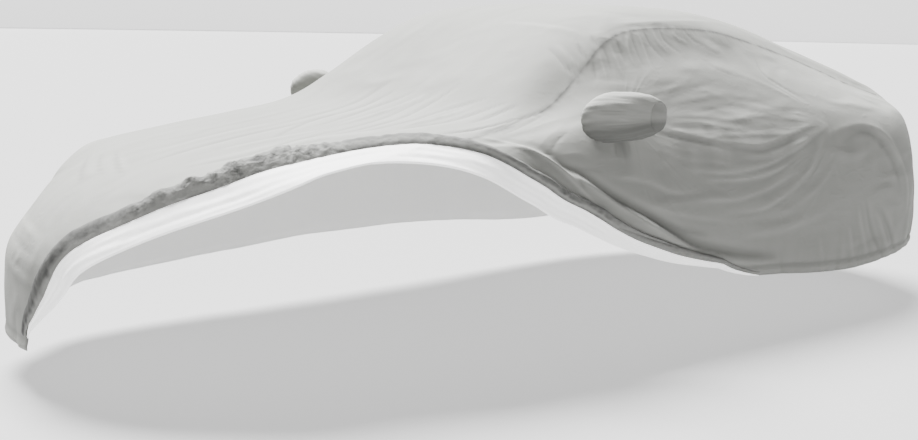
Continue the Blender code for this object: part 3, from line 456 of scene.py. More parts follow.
def plain_points(along, across):
    """Points of the smooth cover, before its folds, at places given as arrays of one shape."""
    rows = spline(ALONG, LINES, along.ravel())
    slopes = np.gradient(rows, ACROSS, axis=1)
    k, step, u = interval(ACROSS, across.ravel())
    row = np.arange(len(k))
    points = hermite(
        rows[row, k], rows[row, k + 1], slopes[row, k], slopes[row, k + 1], step[:, None], u[:, None]
    )
    return points.reshape(along.shape + (3,))


def plain_outward(along, across):
    """The direction out of the smooth cover at the same places."""
    back = plain_points(along + SLOPE_STEP, across) - plain_points(along - SLOPE_STEP, across)
    right = plain_points(along, across + SLOPE_STEP) - plain_points(along, across - SLOPE_STEP)
    return unit(np.cross(back, right))


def roof_origin():
    """The underside of the solid cloth at the middle of the roof, in the sections' own measures."""
    place = np.array([ROOF_MIDDLE]), np.array([0.0])
    return (plain_points(*place) - SOLID_CLOTH * plain_outward(*place))[0]


ORIGIN = roof_origin()


def distance_to_line(points, line, outward=None):
    """How far each point is from a line of straight steps, how far along the line the nearest place is, and
    on which side of it the point lies, looking back along the line from outside."""
    nearest = np.full(points.shape[:-1], np.inf)
    place = np.zeros(points.shape[:-1])
    side = np.zeros(points.shape[:-1])
    for k, (start, end) in enumerate(zip(line[:-1], line[1:])):
        run = end - start
        share = clamp((points - start) @ run / (run @ run))
        offset = points - start - share[..., None] * run
        distance = np.linalg.norm(offset, axis=-1)
        closer = distance < nearest
        place = np.where(closer, (k + share) / (len(line) - 1), place)
        if outward is not None:
            side = np.where(closer, np.sign(np.sum(np.cross(run, offset) * outward, axis=-1)), side)
        nearest = np.minimum(nearest, distance)
    return nearest, place, side


def read_folds(rows, height_unit=MILLIMETRES):
    """Folds from their rows, with widths and height in metres and the path as pairs of along and across."""
    folds = []
    for start, end, height, sharp, lean, *path in rows:
        start, end, height = start / MILLIMETRES, end / MILLIMETRES, height / height_unit
        folds.append(Fold(start, end, height, sharp, lean, np.reshape(path, (-1, 2))))
    return folds


def mirrored(fold):
    """A fold of the near side, drawn on the far side."""
    path = fold.path * (1.0, -1.0) + (FAR_SHIFT, 0.0)
    return fold._replace(path=path, height=FAR_HEIGHT * fold.height, lean=-fold.lean)


BOTH_SIDES = read_folds(SIDE_FOLDS)
ALL_FOLDS = [*read_folds(FOLDS + NEAR_FOLDS), *BOTH_SIDES, *(mirrored(fold) for fold in BOTH_SIDES)]
ALL_CREVICES = read_folds(CREVICES, height_unit=1.0)


def fold_height(fold, points, outward):
    """A ridge or trough that fades out at both ends."""
    knots = np.arange(len(fold.path), dtype=float)
    path = spline(knots, fold.path, np.linspace(0, knots[-1], FOLD_STEPS))
    line = plain_points(path[:, 0], path[:, 1])
    reach = FOLD_REACH * max(fold.width_start, fold.width_end)
    near = ((points > line.min(axis=0) - reach) & (points < line.max(axis=0) + reach)).all(axis=-1)
    height = np.zeros(points.shape[:-1])
    if near.any():
        distance, place, side = distance_to_line(points[near], line, outward[near])
        width = fold.width_start + (fold.width_end - fold.width_start) * place
        width = width * (1 + fold.lean * side)
        fade = np.sin(np.pi * np.clip(place, 0.01, 0.99)) ** FOLD_FADE
        soft = bell(distance, width)
        crest = np.exp(-CREST_FALL * distance / width)
        height[near] = fold.height * fade * (soft + fold.sharp * (crest - soft))
    return height


def roll_height(points, along, across):
    """The roll: steep and slightly hollow above its crest, and falling gently to the cuff below it."""
    crest_along = np.linspace(ROLL[0, 0], ROLL[-1, 0], ROLL_SAMPLES)
    crest = spline(ROLL[:, 0], ROLL[:, 1:], crest_along)
    distance, place, _ = distance_to_line(points, plain_points(crest_along, crest[:, 0]))
    height = np.interp(place, np.linspace(0.0, 1.0, len(crest)), crest[:, 1])
    crest_across = np.interp(along, crest_along, crest[:, 0])
    above = bell(distance, ROLL_UPPER) - 0.3 * bell(distance - ROLL_HOLLOW, ROLL_UPPER)
    below = clamp(1 - distance / ROLL_LOWER) ** 1.4
    return height * np.where(across > crest_across, above, below)


def waves(points, size, seed):
    """Smooth noise between -1 and 1, with waves of about the given size."""
    flat = (points / np.asarray(size)).reshape(-1, 3) + seed
    return np.array([noise.noise(Vector(point)) for point in flat]).reshape(points.shape[:-1])


def pleats(points, size, seed):
    """The same noise folded over, so that its crests are sharp."""
    return 1 - 2 * np.abs(waves(points, size, seed))


def gathered_edge(plain, along, across):
    """The casing of the elastic: a stitched line round the hem, and the cloth gathered over and above it."""
    side = SIDE_REACH * (HEM - np.abs(across))
    distance = np.minimum(side, np.minimum(FRONT_REACH * along, REAR_REACH * (ALONG[-1] - along)))
    free = np.where(across < -SEAM, clamp((along - CUFF_END) / 0.6 + 1), 1.0)
    stitched = bell(distance - CASING_WIDTH, STITCH_WIDTH)
    full = bell(distance - 0.4 * CASING_WIDTH, CASING_FULLNESS)
    small = 0.0012 * pleats(plain, *SMALL_GATHERS) * bell(distance, 0.05)
    large = 0.006 * waves(plain, *LARGE_GATHERS) * np.exp(-distance / 0.09)
    return free * (CASING_DEPTH * (full - stitched) + small + large)


def seam_puckers(plain, across):
    """Little pleats that the thread draws in beside the long seams, further into the side panels."""
    distance = SIDE_REACH * (np.abs(across) - SEAM)
    near = np.exp(-np.abs(distance) / np.where(distance > 0, 0.035, 0.014))
    return 0.0020 * near * pleats(plain, *PUCKERS)


def cloth_points(along, across):
    """Points of the folded cover, the outward direction at each, how far it lies out from the smooth cover
    and how dark its crevices make it."""
    plain, outward = plain_points(along, across), plain_outward(along, across)
    height = roll_height(plain, along, across) + gathered_edge(plain, along, across)
    height = height + seam_puckers(plain, across)
    uneven = 1 + 0.4 * waves(plain, *UNEVEN_FOLDS)
    for fold in ALL_FOLDS:
        height = height + uneven * fold_height(fold, plain, outward)
    for slack, rise in SLACK:
        height = height + rise * waves(plain, *slack)
    dark = sum(fold_height(crevice, plain, outward) for crevice in ALL_CREVICES)
    return plain + height[..., None] * outward, outward, height, clamp(dark)


def cuff_values(along):
    """Place across of the fold, width and rise of the lining, and width and rise of the hem."""
    return spline(CUFF[:, 0], CUFF[:, 1:], along).T


def fold_across(along):
    """Where the near edge of the cloth lies: on the fold of the cuff, and on the hem behind it."""
    fold = cuff_values(np.clip(along, CUFF[0, 0], CUFF_END))[0]
    reach = clamp((along - CUFF_END) / CUFF_RUNS_OUT + 1)
    return np.maximum(fold, -HEM) * (1 - reach) - HEM * reach


# ---------------------------------------------------------------------------
# Materials
# ---------------------------------------------------------------------------

WHITE, BLACK = (1.0, 1.0, 1.0, 1.0), (0.0, 0.0, 0.0, 1.0)
# Scale of the weave's bands, whose threads lie 3 mm apart.
WEAVE_SCALE = 99.474773


def arithmetic(operation, reflected=False):
    """An operator of Value, which adds a Math node. A reflected one takes its values the other way round."""

    def apply(value, other):
        first, second = (other, value) if reflected else (value, other)
        return value.graph.math(operation, first, second)

    return apply


class Value:
    """A shader socket that takes part in arithmetic."""

    def __init__(self, graph, socket):
        self.graph = graph
        self.socket = socket

    __add__ = __radd__ = arithmetic("ADD")
    __sub__, __rsub__ = arithmetic("SUBTRACT"), arithmetic("SUBTRACT", reflected=True)
    __mul__ = __rmul__ = arithmetic("MULTIPLY")


class Graph:
    """The nodes of one material."""

    def __init__(self, name):
        self.material = bpy.data.materials.new(name)
        self.material.use_nodes = True
        self.tree = self.material.node_tree
        self.shader = self.tree.nodes["Principled BSDF"]

    def add(self, kind, settings=None, sockets=None, output=0):
        """A node with its settings made first, its sockets filled or linked, and one output returned."""
        node = self.tree.nodes.new(kind)
        for name, value in (settings or {}).items():
            setattr(node, name, value)
        for name, value in (sockets or {}).items():
            self.fill(node.inputs[name], value)
        return Value(self, node.outputs[output])

    def fill(self, socket, value):
        if isinstance(value, Value):
            self.tree.links.new(value.socket, socket)
        else:
            socket.default_value = value

    def surface(self, **sockets):
        """Fills the shader's own sockets, named with underscores for spaces."""
        for name, value in sockets.items():
            self.fill(self.shader.inputs[name.replace("_", " ")], value)

    def math(self, operation, *values):
        return self.add("ShaderNodeMath", {"operation": operation}, dict(enumerate(values)))

    def vector(self, operation, first, second, output=0):
        return self.add("ShaderNodeVectorMath", {"operation": operation}, {0: first, 1: second}, output)

    def place(self):
        return self.add("ShaderNodeTexCoord", output="Object")

    def number(self, name):
        return self.add("ShaderNodeAttribute", {"attribute_name": name}, output="Fac")

    def noise(self, where, scale, detail, roughness=0.5):
        sockets = {"Vector": where, "Scale": scale, "Detail": detail, "Roughness": roughness}
        return self.add("ShaderNodeTexNoise", sockets=sockets)

    def ridges(self, where, scale=1.0, detail=3.0, roughness=0.6, distortion=0.6):
        """Creases: noise whose ridges are sharp."""
        settings = {"noise_type": "RIDGED_MULTIFRACTAL", "normalize": True}
        sockets = {"Vector": where, "Scale": scale, "Detail": detail, "Roughness": roughness}
        return self.add("ShaderNodeTexNoise", settings, {**sockets, "Distortion": distortion})

    def mix(self, share, first, second, blend="MIX"):
        settings = {"data_type": "RGBA", "blend_type": blend}
        return self.add("ShaderNodeMix", settings, {0: share, 6: first, 7: second}, output=2)

    def bump(self, height, strength, distance, normal=None):
        sockets = {"Height": height, "Strength": strength, "Distance": distance}
        if normal is not None:
            sockets["Normal"] = normal
        return self.add("ShaderNodeBump", sockets=sockets)

    def woven(self, normal):
        """The bump of a plain weave over the cloth's own map, on top of the given normal."""
        over, under = (
            self.add(
                "ShaderNodeTexWave",
                {"bands_direction": direction},
                {"Vector": self.add("ShaderNodeUVMap", {"uv_map": "cloth"}), "Scale": WEAVE_SCALE},
            )
            for direction in "XY"
        )
        return self.bump(over * under, strength=0.2, distance=0.0004, normal=normal)

    def drawn_between(self, place, first, second):
        """Creases that run in arcs from one place to another, each given as (x, z)."""
        x = self.add("ShaderNodeSeparateXYZ", sockets={0: place}, output="X")
        z = Value(self, x.socket.node.outputs["Z"])
        turns = [self.math("ARCTAN2", z - end[1], x - end[0]) for end in (first, second)]
        reach = (x - first[0]) * 0.6 + (z - first[1]) * 0.1
        where = self.add("ShaderNodeCombineXYZ", sockets={"X": turns[0] - turns[1], "Y": reach})
        return self.ridges(where, scale=7.0, roughness=0.55, distortion=0.2)

    def far_from(self, place, spot, reach):
        """0 at a spot, given as (x, z), rising to 1 at reach metres from it."""
        flat = self.vector("MULTIPLY", place, (1 / reach, 0.0, 1 / reach))
        middle = (spot[0] / reach, 0.0, spot[1] / reach)
        return self.math("MINIMUM", self.vector("DISTANCE", flat, middle, output=1), 1.0)


def colour4(colour, scale=1.0):
    return (*(scale * c for c in colour[:3]), 1.0)


def outer_cloth(colours):
    """Matt woven outer face: light warm grey, uneven, with fine creases between the modelled folds."""
    graph = Graph("woven_outer_cloth")
    place = graph.place()
    tone = graph.noise(place, scale=2.2, detail=4.0, roughness=0.6)
    speckle = graph.noise(place, scale=420.0, detail=1.0)
    patches = graph.noise(place, scale=2.3, detail=1.0)
    colour = graph.mix(tone, colour4(colours.outer, 0.92), colour4(colours.outer, 1.07))
    colour = graph.mix(speckle * 0.10, colour, colour4(colours.outer, 0.8))
    # Crests catch the light and troughs lose it.
    shade = graph.mix(graph.number("hollow") * 0.5 + 0.5, colour4(WHITE, 1.15), colour4(WHITE, 0.80))
    colour = graph.mix(1.0, colour, shade, blend="MULTIPLY")
    # Painted shade in the crevices and on the mirror pockets, with the dark thread of the seams and stitches.
    colour = graph.mix(graph.number("dark") * 0.88, colour, colour4(colours.crevice))
    creases = graph.ridges(graph.vector("MULTIPLY", place, (2.6, 5.5, 7.5)))
    fine = graph.ridges(graph.vector("MULTIPLY", place, (16.0, 26.0, 34.0)), detail=2.0)
    drawn = graph.drawn_between(place, POCKET_END, ARCH_HIP)
    door = graph.number("door") * graph.far_from(place, ARCH_HIP, ARCH_REACH) * (patches * 0.8 + 0.6)
    normal = graph.bump(drawn * door, strength=1.0, distance=0.0036)
    normal = graph.bump(creases, strength=0.8, distance=0.018, normal=normal)
    normal = graph.bump(fine * patches, strength=0.7, distance=0.003, normal=normal)
    graph.surface(Base_Color=colour, Roughness=0.85, Normal=graph.woven(normal))
    return graph.material


def inner_face(colours):
    """Soft white inner face, brushed, with its fine nap. Where it is turned outwards it glows a little, as
    painted light.
    """
    graph = Graph("soft_inner_face")
    place = graph.place()
    tone = graph.noise(place, scale=3.0, detail=3.0)
    colour = graph.mix(tone, colour4(colours.lining, 0.97), colour4(colours.lining))
    soft = graph.noise(place, scale=14.0, detail=3.0)
    nap = graph.noise(place, scale=500.0, detail=2.0)
    normal = graph.bump(nap, 0.2, 0.001, graph.bump(soft, strength=0.25, distance=0.015))
    graph.surface(Base_Color=colour, Roughness=0.9, Normal=normal, Sheen_Weight=1.0, Sheen_Roughness=0.5)
    # Painted light: the turned-out lining of the cuff glows a little, though it is no lamp.
    graph.surface(Emission_Color=graph.mix(graph.number("turned"), BLACK, WHITE), Emission_Strength=0.8)
    return graph.material


def gathered_hem(colours):
    """The outer cloth gathered over its elastic, with painted shade in its folds and along its band."""
    graph = Graph("gathered_hem_cloth")
    # Painted shade: darker with the band's hollow number, down to a tenth of the hem colour.
    colour = graph.mix(graph.number("hollow"), colour4(colours.hem), colour4(colours.hem, 0.10))
    crumples = graph.noise(graph.place(), scale=34.0, detail=2.0) * graph.number("crumple")
    normal = graph.woven(graph.bump(crumples, strength=1.0, distance=0.010))
    graph.surface(Base_Color=colour, Roughness=0.85, Normal=normal)
    return graph.material


FINISHES = {}
MAKERS = {"outer_cloth": outer_cloth, "inner_face": inner_face, "gathered_hem": gathered_hem}


def finish(slot):
    """The finish of a material slot, made the first time that it is asked for."""
    if slot not in FINISHES:
        FINISHES[slot] = MAKERS[slot](bpy.context.scene.car_cover)
    return FINISHES[slot]


# ---------------------------------------------------------------------------
# Sheets
# ---------------------------------------------------------------------------


def arc_lengths(points, axis):
    """How far along a row or column of a grid each point lies, in metres."""
    steps = np.linalg.norm(np.diff(points, axis=axis), axis=-1)
    start = np.zeros_like(np.take(steps, [0], axis=axis))
    return np.concatenate([start, np.cumsum(steps, axis=axis)], axis=axis)


def grid_shell(points, numbers, outward=None):
    """A bmesh grid laid through points, with the cloth's map in metres and the numbers as attributes, and
    with its faces turned the way of outward."""
    rows, columns = points.shape[:2]
    shell = bmesh.new()
    bmesh.ops.create_grid(shell, x_segments=rows - 1, y_segments=columns - 1, size=1.0, calc_uvs=True)
    uv = shell.loops.layers.uv.verify()
    layers = {name: shell.verts.layers.float.new(name) for name in numbers}
    flat_points = points.transpose(1, 0, 2).reshape(-1, 3) - ORIGIN
    flat_numbers = {name: grid.T.ravel() for name, grid in numbers.items()}
    flat_map = np.stack([arc_lengths(points, 1).T.ravel(), arc_lengths(points, 0).T.ravel()], axis=1)
    for k, vert in enumerate(shell.verts):
        vert.co = flat_points[k]
        for name, layer in layers.items():
            vert[layer] = flat_numbers[name][k]
        for loop in vert.link_loops:
            loop[uv].uv = flat_map[k]
    if outward is not None:
        middle = rows // 2, columns // 2
        place = Vector(points[middle] - ORIGIN)
        face = min(shell.faces, key=lambda f: (f.calc_center_median() - place).length_squared)
        face.normal_update()
        turn_out(shell, face, Vector(outward[middle]))
    return shell


def turn_out(shell, face, outward):
    """Reverses the shell's faces if the given one looks inwards."""
    if face.normal.dot(outward) < 0:
        bmesh.ops.reverse_faces(shell, faces=shell.faces[:])


def mesh_from(shell, name):
    mesh = bpy.data.meshes.new(name)
    shell.to_mesh(mesh)
    shell.free()
    return mesh


def show(name, data):
    """An object of the scene for a mesh, light or camera."""
    item = bpy.data.objects.new(name, data)
    bpy.context.scene.collection.objects.link(item)
    return item


def lay_sheet(name, node, shell, slots=("outer_cloth", "inner_face")):
    """Makes a shell the sheet that stands for a node, with its wall and its finishes."""
    mesh = mesh_from(shell, name)
    mesh.uv_layers[0].name = "cloth"
    for slot in slots:
        mesh.materials.append(finish(slot))
    mesh.shade_smooth()
    sheet = show(name, mesh)
    wall = sheet.modifiers.new("wall", "SOLIDIFY")
    wall.thickness = bpy.context.scene.car_cover.cloth
    wall.offset = -1.0
    wall.use_even_offset = False
    wall.material_offset = len(slots) - 1
    wall.material_offset_rim = 0
    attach(sheet, "root")
    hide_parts(node)


def between(left, right, columns):
    """Places across the cloth, evenly from left to right, a row for each of left. One more column close to
    each edge keeps the rounding of the cut edge off the cloth beside it."""
    share = np.linspace(0.0, 1.0, columns + 1)
    share = np.sort(np.append(share, (EDGE_HOLD, 1 - EDGE_HOLD)))
    return left[:, None] + share * (right - left)[:, None]


def spaced(along, across, step):
    """Places about step metres apart on the line through the given places, and its length."""
    length = arc_lengths(plain_points(along, across), 0)
    return np.interp(np.linspace(0.0, length[-1], int(length[-1] / step) + 1), length, along), length[-1]


def rows(start, end, step):
    """Places along the cloth about step metres apart, measured on the near seam."""
    along = np.linspace(start, end, LINE_SAMPLES)
    return spaced(along, np.full(len(along), -SEAM), step)[0]


def hollows(height, rounds=HOLLOW_ROUNDS):
    """How deep each place of a grid lies in its folds: up to 1 in a trough, down to -1 on a crest."""
    around = height
    for _ in range(rounds):
        padded = np.pad(around, 1, mode="edge")
        around = (padded[:-2, 1:-1] + padded[2:, 1:-1] + padded[1:-1, :-2] + padded[1:-1, 2:]) / 4
    return np.clip((around - height) / FULL_HOLLOW, -1.0, 1.0)


def seam_mark(points, edges):
    """How dark the sewn edges of a panel are, falling to 0 a few millimetres in."""
    over = arc_lengths(points, 1)
    marks = {"left": bell(over, SEAM_WIDTH), "right": bell(over[:, -1:] - over, SEAM_WIDTH)}
    mark = np.max([marks[edge] for edge in edges], axis=0)
    return mark * np.clip(0.9 + 1.2 * waves(points, *UNEVEN_SEAM), 0.3, 1.0)


def panel(along, across, sewn):
    """A cloth panel over places across the cloth, sewn at the named edges, and its points."""
    places = np.broadcast_to(along[:, None], across.shape)
    points, outward, height, dark = cloth_points(places, across)
    # Painted shade of the crevices, joined with the dark thread of the seams.
    dark = np.maximum(dark, seam_mark(points, sewn))
    door = np.interp(places, *DOOR_ALONG) * np.interp(np.abs(across), *DOOR_ACROSS)
    return grid_shell(points, {"dark": dark, "door": door, "hollow": hollows(height)}, outward), points


def pocket_ring(ring, turns, wider=0.0):
    """Stations and heights at the given turns round a pocket ring, a rounded box."""
    power = 2 / POCKET_ROUNDNESS
    cosine, sine = np.cos(turns), np.sin(turns)
    length = (ring.half_length + wider) * np.sign(cosine) * np.abs(cosine) ** power
    height = (ring.half_height + wider) * np.sign(sine) * np.abs(sine) ** power
    return ring.station + length, ring.height + height


def open_pocket_hole(shell, side):
    """Opens a side panel behind its mirror pocket, and brings the cut edge onto the pocket's outline."""
    ring = POCKET[0]
    middle = np.array([ring.station + POCKET_PULLED_BACK[side], 0.0, ring.height]) - ORIGIN

    def reach(point):
        length, height = (point.x - middle[0]) / ring.half_length, (point.z - middle[2]) / ring.half_height
        return (abs(length) ** POCKET_ROUNDNESS + abs(height) ** POCKET_ROUNDNESS) ** (1 / POCKET_ROUNDNESS)

    inside = [face for face in shell.faces if reach(face.calc_center_median()) < 1.0]
    bmesh.ops.delete(shell, geom=inside, context="FACES")
    for vert in shell.verts:
        if vert.is_boundary and reach(vert.co) < HOLE_RIM:
            share = 1.0 / reach(vert.co)
            vert.co.x = middle[0] + share * (vert.co.x - middle[0])
            vert.co.z = middle[2] + share * (vert.co.z - middle[2])


def cuff_grid(along, distance, height):
    """Points of a strip of the cuff, from how far in from the fold each lies and its height off the cloth."""
    fold = fold_across(along)
    edge = plain_points(along, fold)
    ahead = plain_points(along + CUFF_SLOPE_STEP, fold_across(along + CUFF_SLOPE_STEP))
    back = (plain_points(along + CUFF_SLOPE_STEP, fold) - edge) / CUFF_SLOPE_STEP
    right = (plain_points(along, fold + CUFF_SLOPE_STEP) - edge) / CUFF_SLOPE_STEP
    outward = unit(np.cross(back, right))
    inwards = unit(np.cross(outward, ahead - edge))
    inwards *= np.sign(np.sum(inwards * right, axis=1))[:, None]
    # One metre inwards, counted in places along and across.
    frames = np.stack([back, right, outward], axis=2)
    shift = np.linalg.solve(frames, inwards[..., None])[:, :2]
    places_along = along[:, None] + shift[:, 0] * distance
    points, normal, *_ = cloth_points(places_along, fold[:, None] + shift[:, 1] * distance)
    return points + height[..., None] * normal, normal


def strip_spots(metres, share):
    """Places on a strip, as metres along it and shares of its width, for noise to be read at."""
    return np.stack([metres + 0 * share, share + 0 * metres, 0 * share + 0 * metres], axis=-1)


# ---------------------------------------------------------------------------
# Settings
# ---------------------------------------------------------------------------


class CoverSettings(bpy.types.PropertyGroup):
    outer: FloatVectorProperty(
        name="Outer face", description="Colour of the outer cloth",
        subtype="COLOR", default=(0.222, 0.225, 0.210),
    )
    lining: FloatVectorProperty(
        name="Inner face", description="Colour of the soft inner face",
        subtype="COLOR", default=(0.90, 0.90, 0.89),
    )
    # The hem is cut from the outer cloth: its colour is a little darker than the outer face, as painted shade
    # of the gathered band.
    hem: FloatVectorProperty(
        name="Gathered hem", description="Colour of the gathered hem",
        subtype="COLOR", default=(0.195, 0.197, 0.186),
    )
    # Dark thread of the seams and stitches, and painted shade in the crevices and on the mirror pockets.
    crevice: FloatVectorProperty(
        name="Crevices", description="Colour of seams and crevices",
        subtype="COLOR", default=(0.070, 0.071, 0.066),
    )
    cloth: FloatProperty(
        name="Cloth", description="Thickness of the cloth", default=0.0015, min=0.0005, unit="LENGTH"
    )
    step: FloatProperty(
        name="Mesh step", description="Distance between the points of the far side",
        default=0.014, unit="LENGTH",
    )
    fine_step: FloatProperty(
        name="Fine step", description="Distance between the points of the cuff", default=0.006, unit="LENGTH"
    )


class StageSettings(bpy.types.PropertyGroup):
    floor: FloatVectorProperty(
        name="Floor", description="Colour of the floor", subtype="COLOR", default=(0.205, 0.205, 0.205)
    )
    lift: FloatProperty(name="Lift", description="How much the floor shines by itself", default=0.75)
    overhead: FloatProperty(name="Overhead", description="Strength of the soft light above", default=26.0)
    wall: FloatProperty(
        name="Wall", description="Height of the wall round the floor", default=5.0, unit="LENGTH"
    )
    glow: FloatProperty(name="Glow", description="How much the wall shines by itself", default=1.75)
    room: FloatProperty(name="Room", description="Strength of the light from all round", default=0.18)


# ---------------------------------------------------------------------------
# Operators
# ---------------------------------------------------------------------------


class COVER_OT_centre_cloth(bpy.types.Operator):
    """Drape the centre panel from the front hem over the roof to the rear hem"""

    bl_idname = "cover.centre_cloth"
    bl_label = "Centre panel"

    def execute(self, context):
        along = rows(0.0, ALONG[-1], CENTRE_STEP)
        edge = np.where(along > SEAM_CROSSING, -SEAM, np.maximum(fold_across(along), -SEAM))
        across = between(edge, np.full(len(along), SEAM), CENTRE_COLUMNS)
        shell, points = panel(along, across, ("left", "right"))
        lay_sheet("centre_cloth", "centre_panel", shell)
        return {"FINISHED"}


class COVER_OT_side_cloths(bpy.types.Operator):
    """Drape the two side panels from the roof seam down to the hem"""

    bl_idname = "cover.side_cloths"
    bl_label = "Side panels"

    def execute(self, context):
        door, rear = rows(SEAM_CROSSING, DOOR_END, DOOR_STEP), rows(DOOR_END, ALONG[-1], REAR_STEP)
        along = np.concatenate([door[:-1], rear])
        across = between(fold_across(along), np.full(len(along), -SEAM), NEAR_COLUMNS)
        self.side("left", along, across, sewn=("right",))
        step = context.scene.car_cover.step
        along = rows(0.0, ALONG[-1], step)
        seam = np.full(len(along), SEAM)
        self.side("right", along, between(seam, HEM * seam, int(SIDE_REACH / step)), sewn=("left",))
        return {"FINISHED"}

    def side(self, side, along, across, sewn):
        shell, points = panel(along, across, sewn)
        open_pocket_hole(shell, side)
        lay_sheet(f"{side}_side_cloth", f"side_panel_{side}", shell)


class COVER_OT_cuff(bpy.types.Operator):
    """Turn the near front corner back in a white band that ends in the gathered hem"""

    bl_idname = "cover.cuff"
    bl_label = "Turned-back cuff"

    def execute(self, context):
        line = np.linspace(CUFF_START, CUFF_END, CUFF_SAMPLES)
        along, length = spaced(line, fold_across(line), context.scene.car_cover.fine_step)
        metres = np.linspace(0.0, length, len(along))[:, None]
        self.lining(along, metres)
        self.hem(along, metres)
        return {"FINISHED"}

    def lining(self, along, metres):
        """The white band starts under the cloth, bends round its cut edge and lies back on it."""
        _, width, rise, _, _ = cuff_values(along)[:, :, None]
        turn = np.linspace(0.0, np.pi, LINING_BENDS)[None, :]
        share = np.linspace(0.0, 1.0, LINING_COLUMNS)[None, 1:]
        taper = clamp(np.minimum((CUFF_END - along) / 0.8, (along - CUFF_START) / 0.3))[:, None]
        width, rise = (0.02 + 0.98 * taper**0.7) * width, taper * rise
        lift = (0.35 + 0.65 * taper) * LINING_LIFT
        spots = strip_spots(metres, share)
        edge = spots[:, -1:]
        nibbled = 0.0022 * waves(edge, *FINE_NIBBLES) + 0.0022 * waves(edge, *LONG_NIBBLES)
        streaks = 0.0040 * waves(spots, *LONG_STREAKS) + 0.0022 * waves(spots, *SHORT_STREAKS)
        laid_back = lift + rise * share**1.3 + taper * streaks * np.sin(np.pi * share) ** 0.6
        bend_out, bend_up = -lift * np.sin(turn), -lift * np.cos(turn)
        under = np.full_like(width, TURNED_UNDER)
        distance = np.hstack([under, bend_out, (width + taper * nibbled) * share])
        points, normal = cuff_grid(along, distance, np.hstack([bend_up[:, :1], bend_up, laid_back]))
        # The whole lining of the cuff is marked to glow a little, as painted light.
        shell = grid_shell(points, {"turned": np.ones(points.shape[:2])}, normal)
        lay_sheet("cuff_lining", "turned_lining", shell, ("inner_face",))

    def hem(self, along, metres):
        """The gathered band stands up behind the lining, bellies over its elastic and curls down again."""
        _, width, rise, hem_width, hem_rise = cuff_values(along)[:, :, None]
        u = np.linspace(0.0, 1.0, HEM_COLUMNS)[None, :]
        nose, bonnet, wing, door = (
            np.interp(along, *stretch)[:, None] for stretch in HEM_STRETCHES.values()
        )
        taper = np.clip((CUFF_END - along) / 0.9, 0.08, 1.0)[:, None]
        hem_width, rise, hem_rise = taper**0.5 * hem_width, taper * rise, taper * hem_rise
        crumpled = 0.35 * nose + 1.0 * bonnet + 0.35 * wing + 0.2 * door
        spots = strip_spots(metres, u)
        lumps = crumpled * (waves(spots, *LARGE_LUMPS) + 0.8 * waves(spots, *SMALL_LUMPS))
        gathers, fine = crumpled * pleats(spots, *HEM_GATHERS), crumpled * pleats(spots, *FINE_GATHERS)
        # Wider everywhere but on the bonnet, most of all at the front hem, and flatter on the nose.
        front = bell(along, 1.2)[:, None]
        hem_width = (1.15 + 0.45 * nose + 1.3 * front + 0.35 * wing + 0.35 * door) * hem_width
        hem_rise = (1.2 - 0.5 * nose) * hem_rise
        bulge = np.sin(np.pi * u**0.6) * (0.12 * lumps + 0.10 * gathers)
        distance = width - HEM_TUCK + hem_width * ((1 - np.cos(np.pi * u)) / 2 + bulge)
        foot = taper * LINING_LIFT + rise
        belly = np.sin(np.pi * u**1.35) * (1 + 0.22 * lumps + 0.20 * gathers + 0.09 * fine)
        height = foot * (1 - u) + HEM_END_LIFT * u + hem_rise * belly
        points, normal = cuff_grid(along, distance, height)
        # Painted shade of the band from its foot to its end, for each stretch, lighter on the crests of its
        # gathers.
        rolled = np.interp(u, (0.0, 0.20, 0.38, 0.85, 1.0), (0.15, 0.20, 0.95, 0.95, 0.40))
        creased = np.interp(u, (0.0, 0.15, 0.40, 0.85, 1.0), (0.45, 0.50, 0.85, 0.85, 0.50))
        doubled, shut = 0.72 - 0.60 * bell(u - 0.30, 0.09), 0.25 + 0.50 * bell(u - 0.95, 0.16)
        hollow = rolled * nose + creased * bonnet + doubled * wing + shut * door
        hollow = clamp(hollow - 0.60 * gathers - 0.40 * fine)
        hollow = hollow * (door + (1 - door) * clamp((1 - u) / 0.2))
        shell = grid_shell(points, {"hollow": hollow, "crumple": crumpled + 0 * u}, normal)
        lay_sheet("cuff_hem", "turned_hem", shell, ("gathered_hem",))


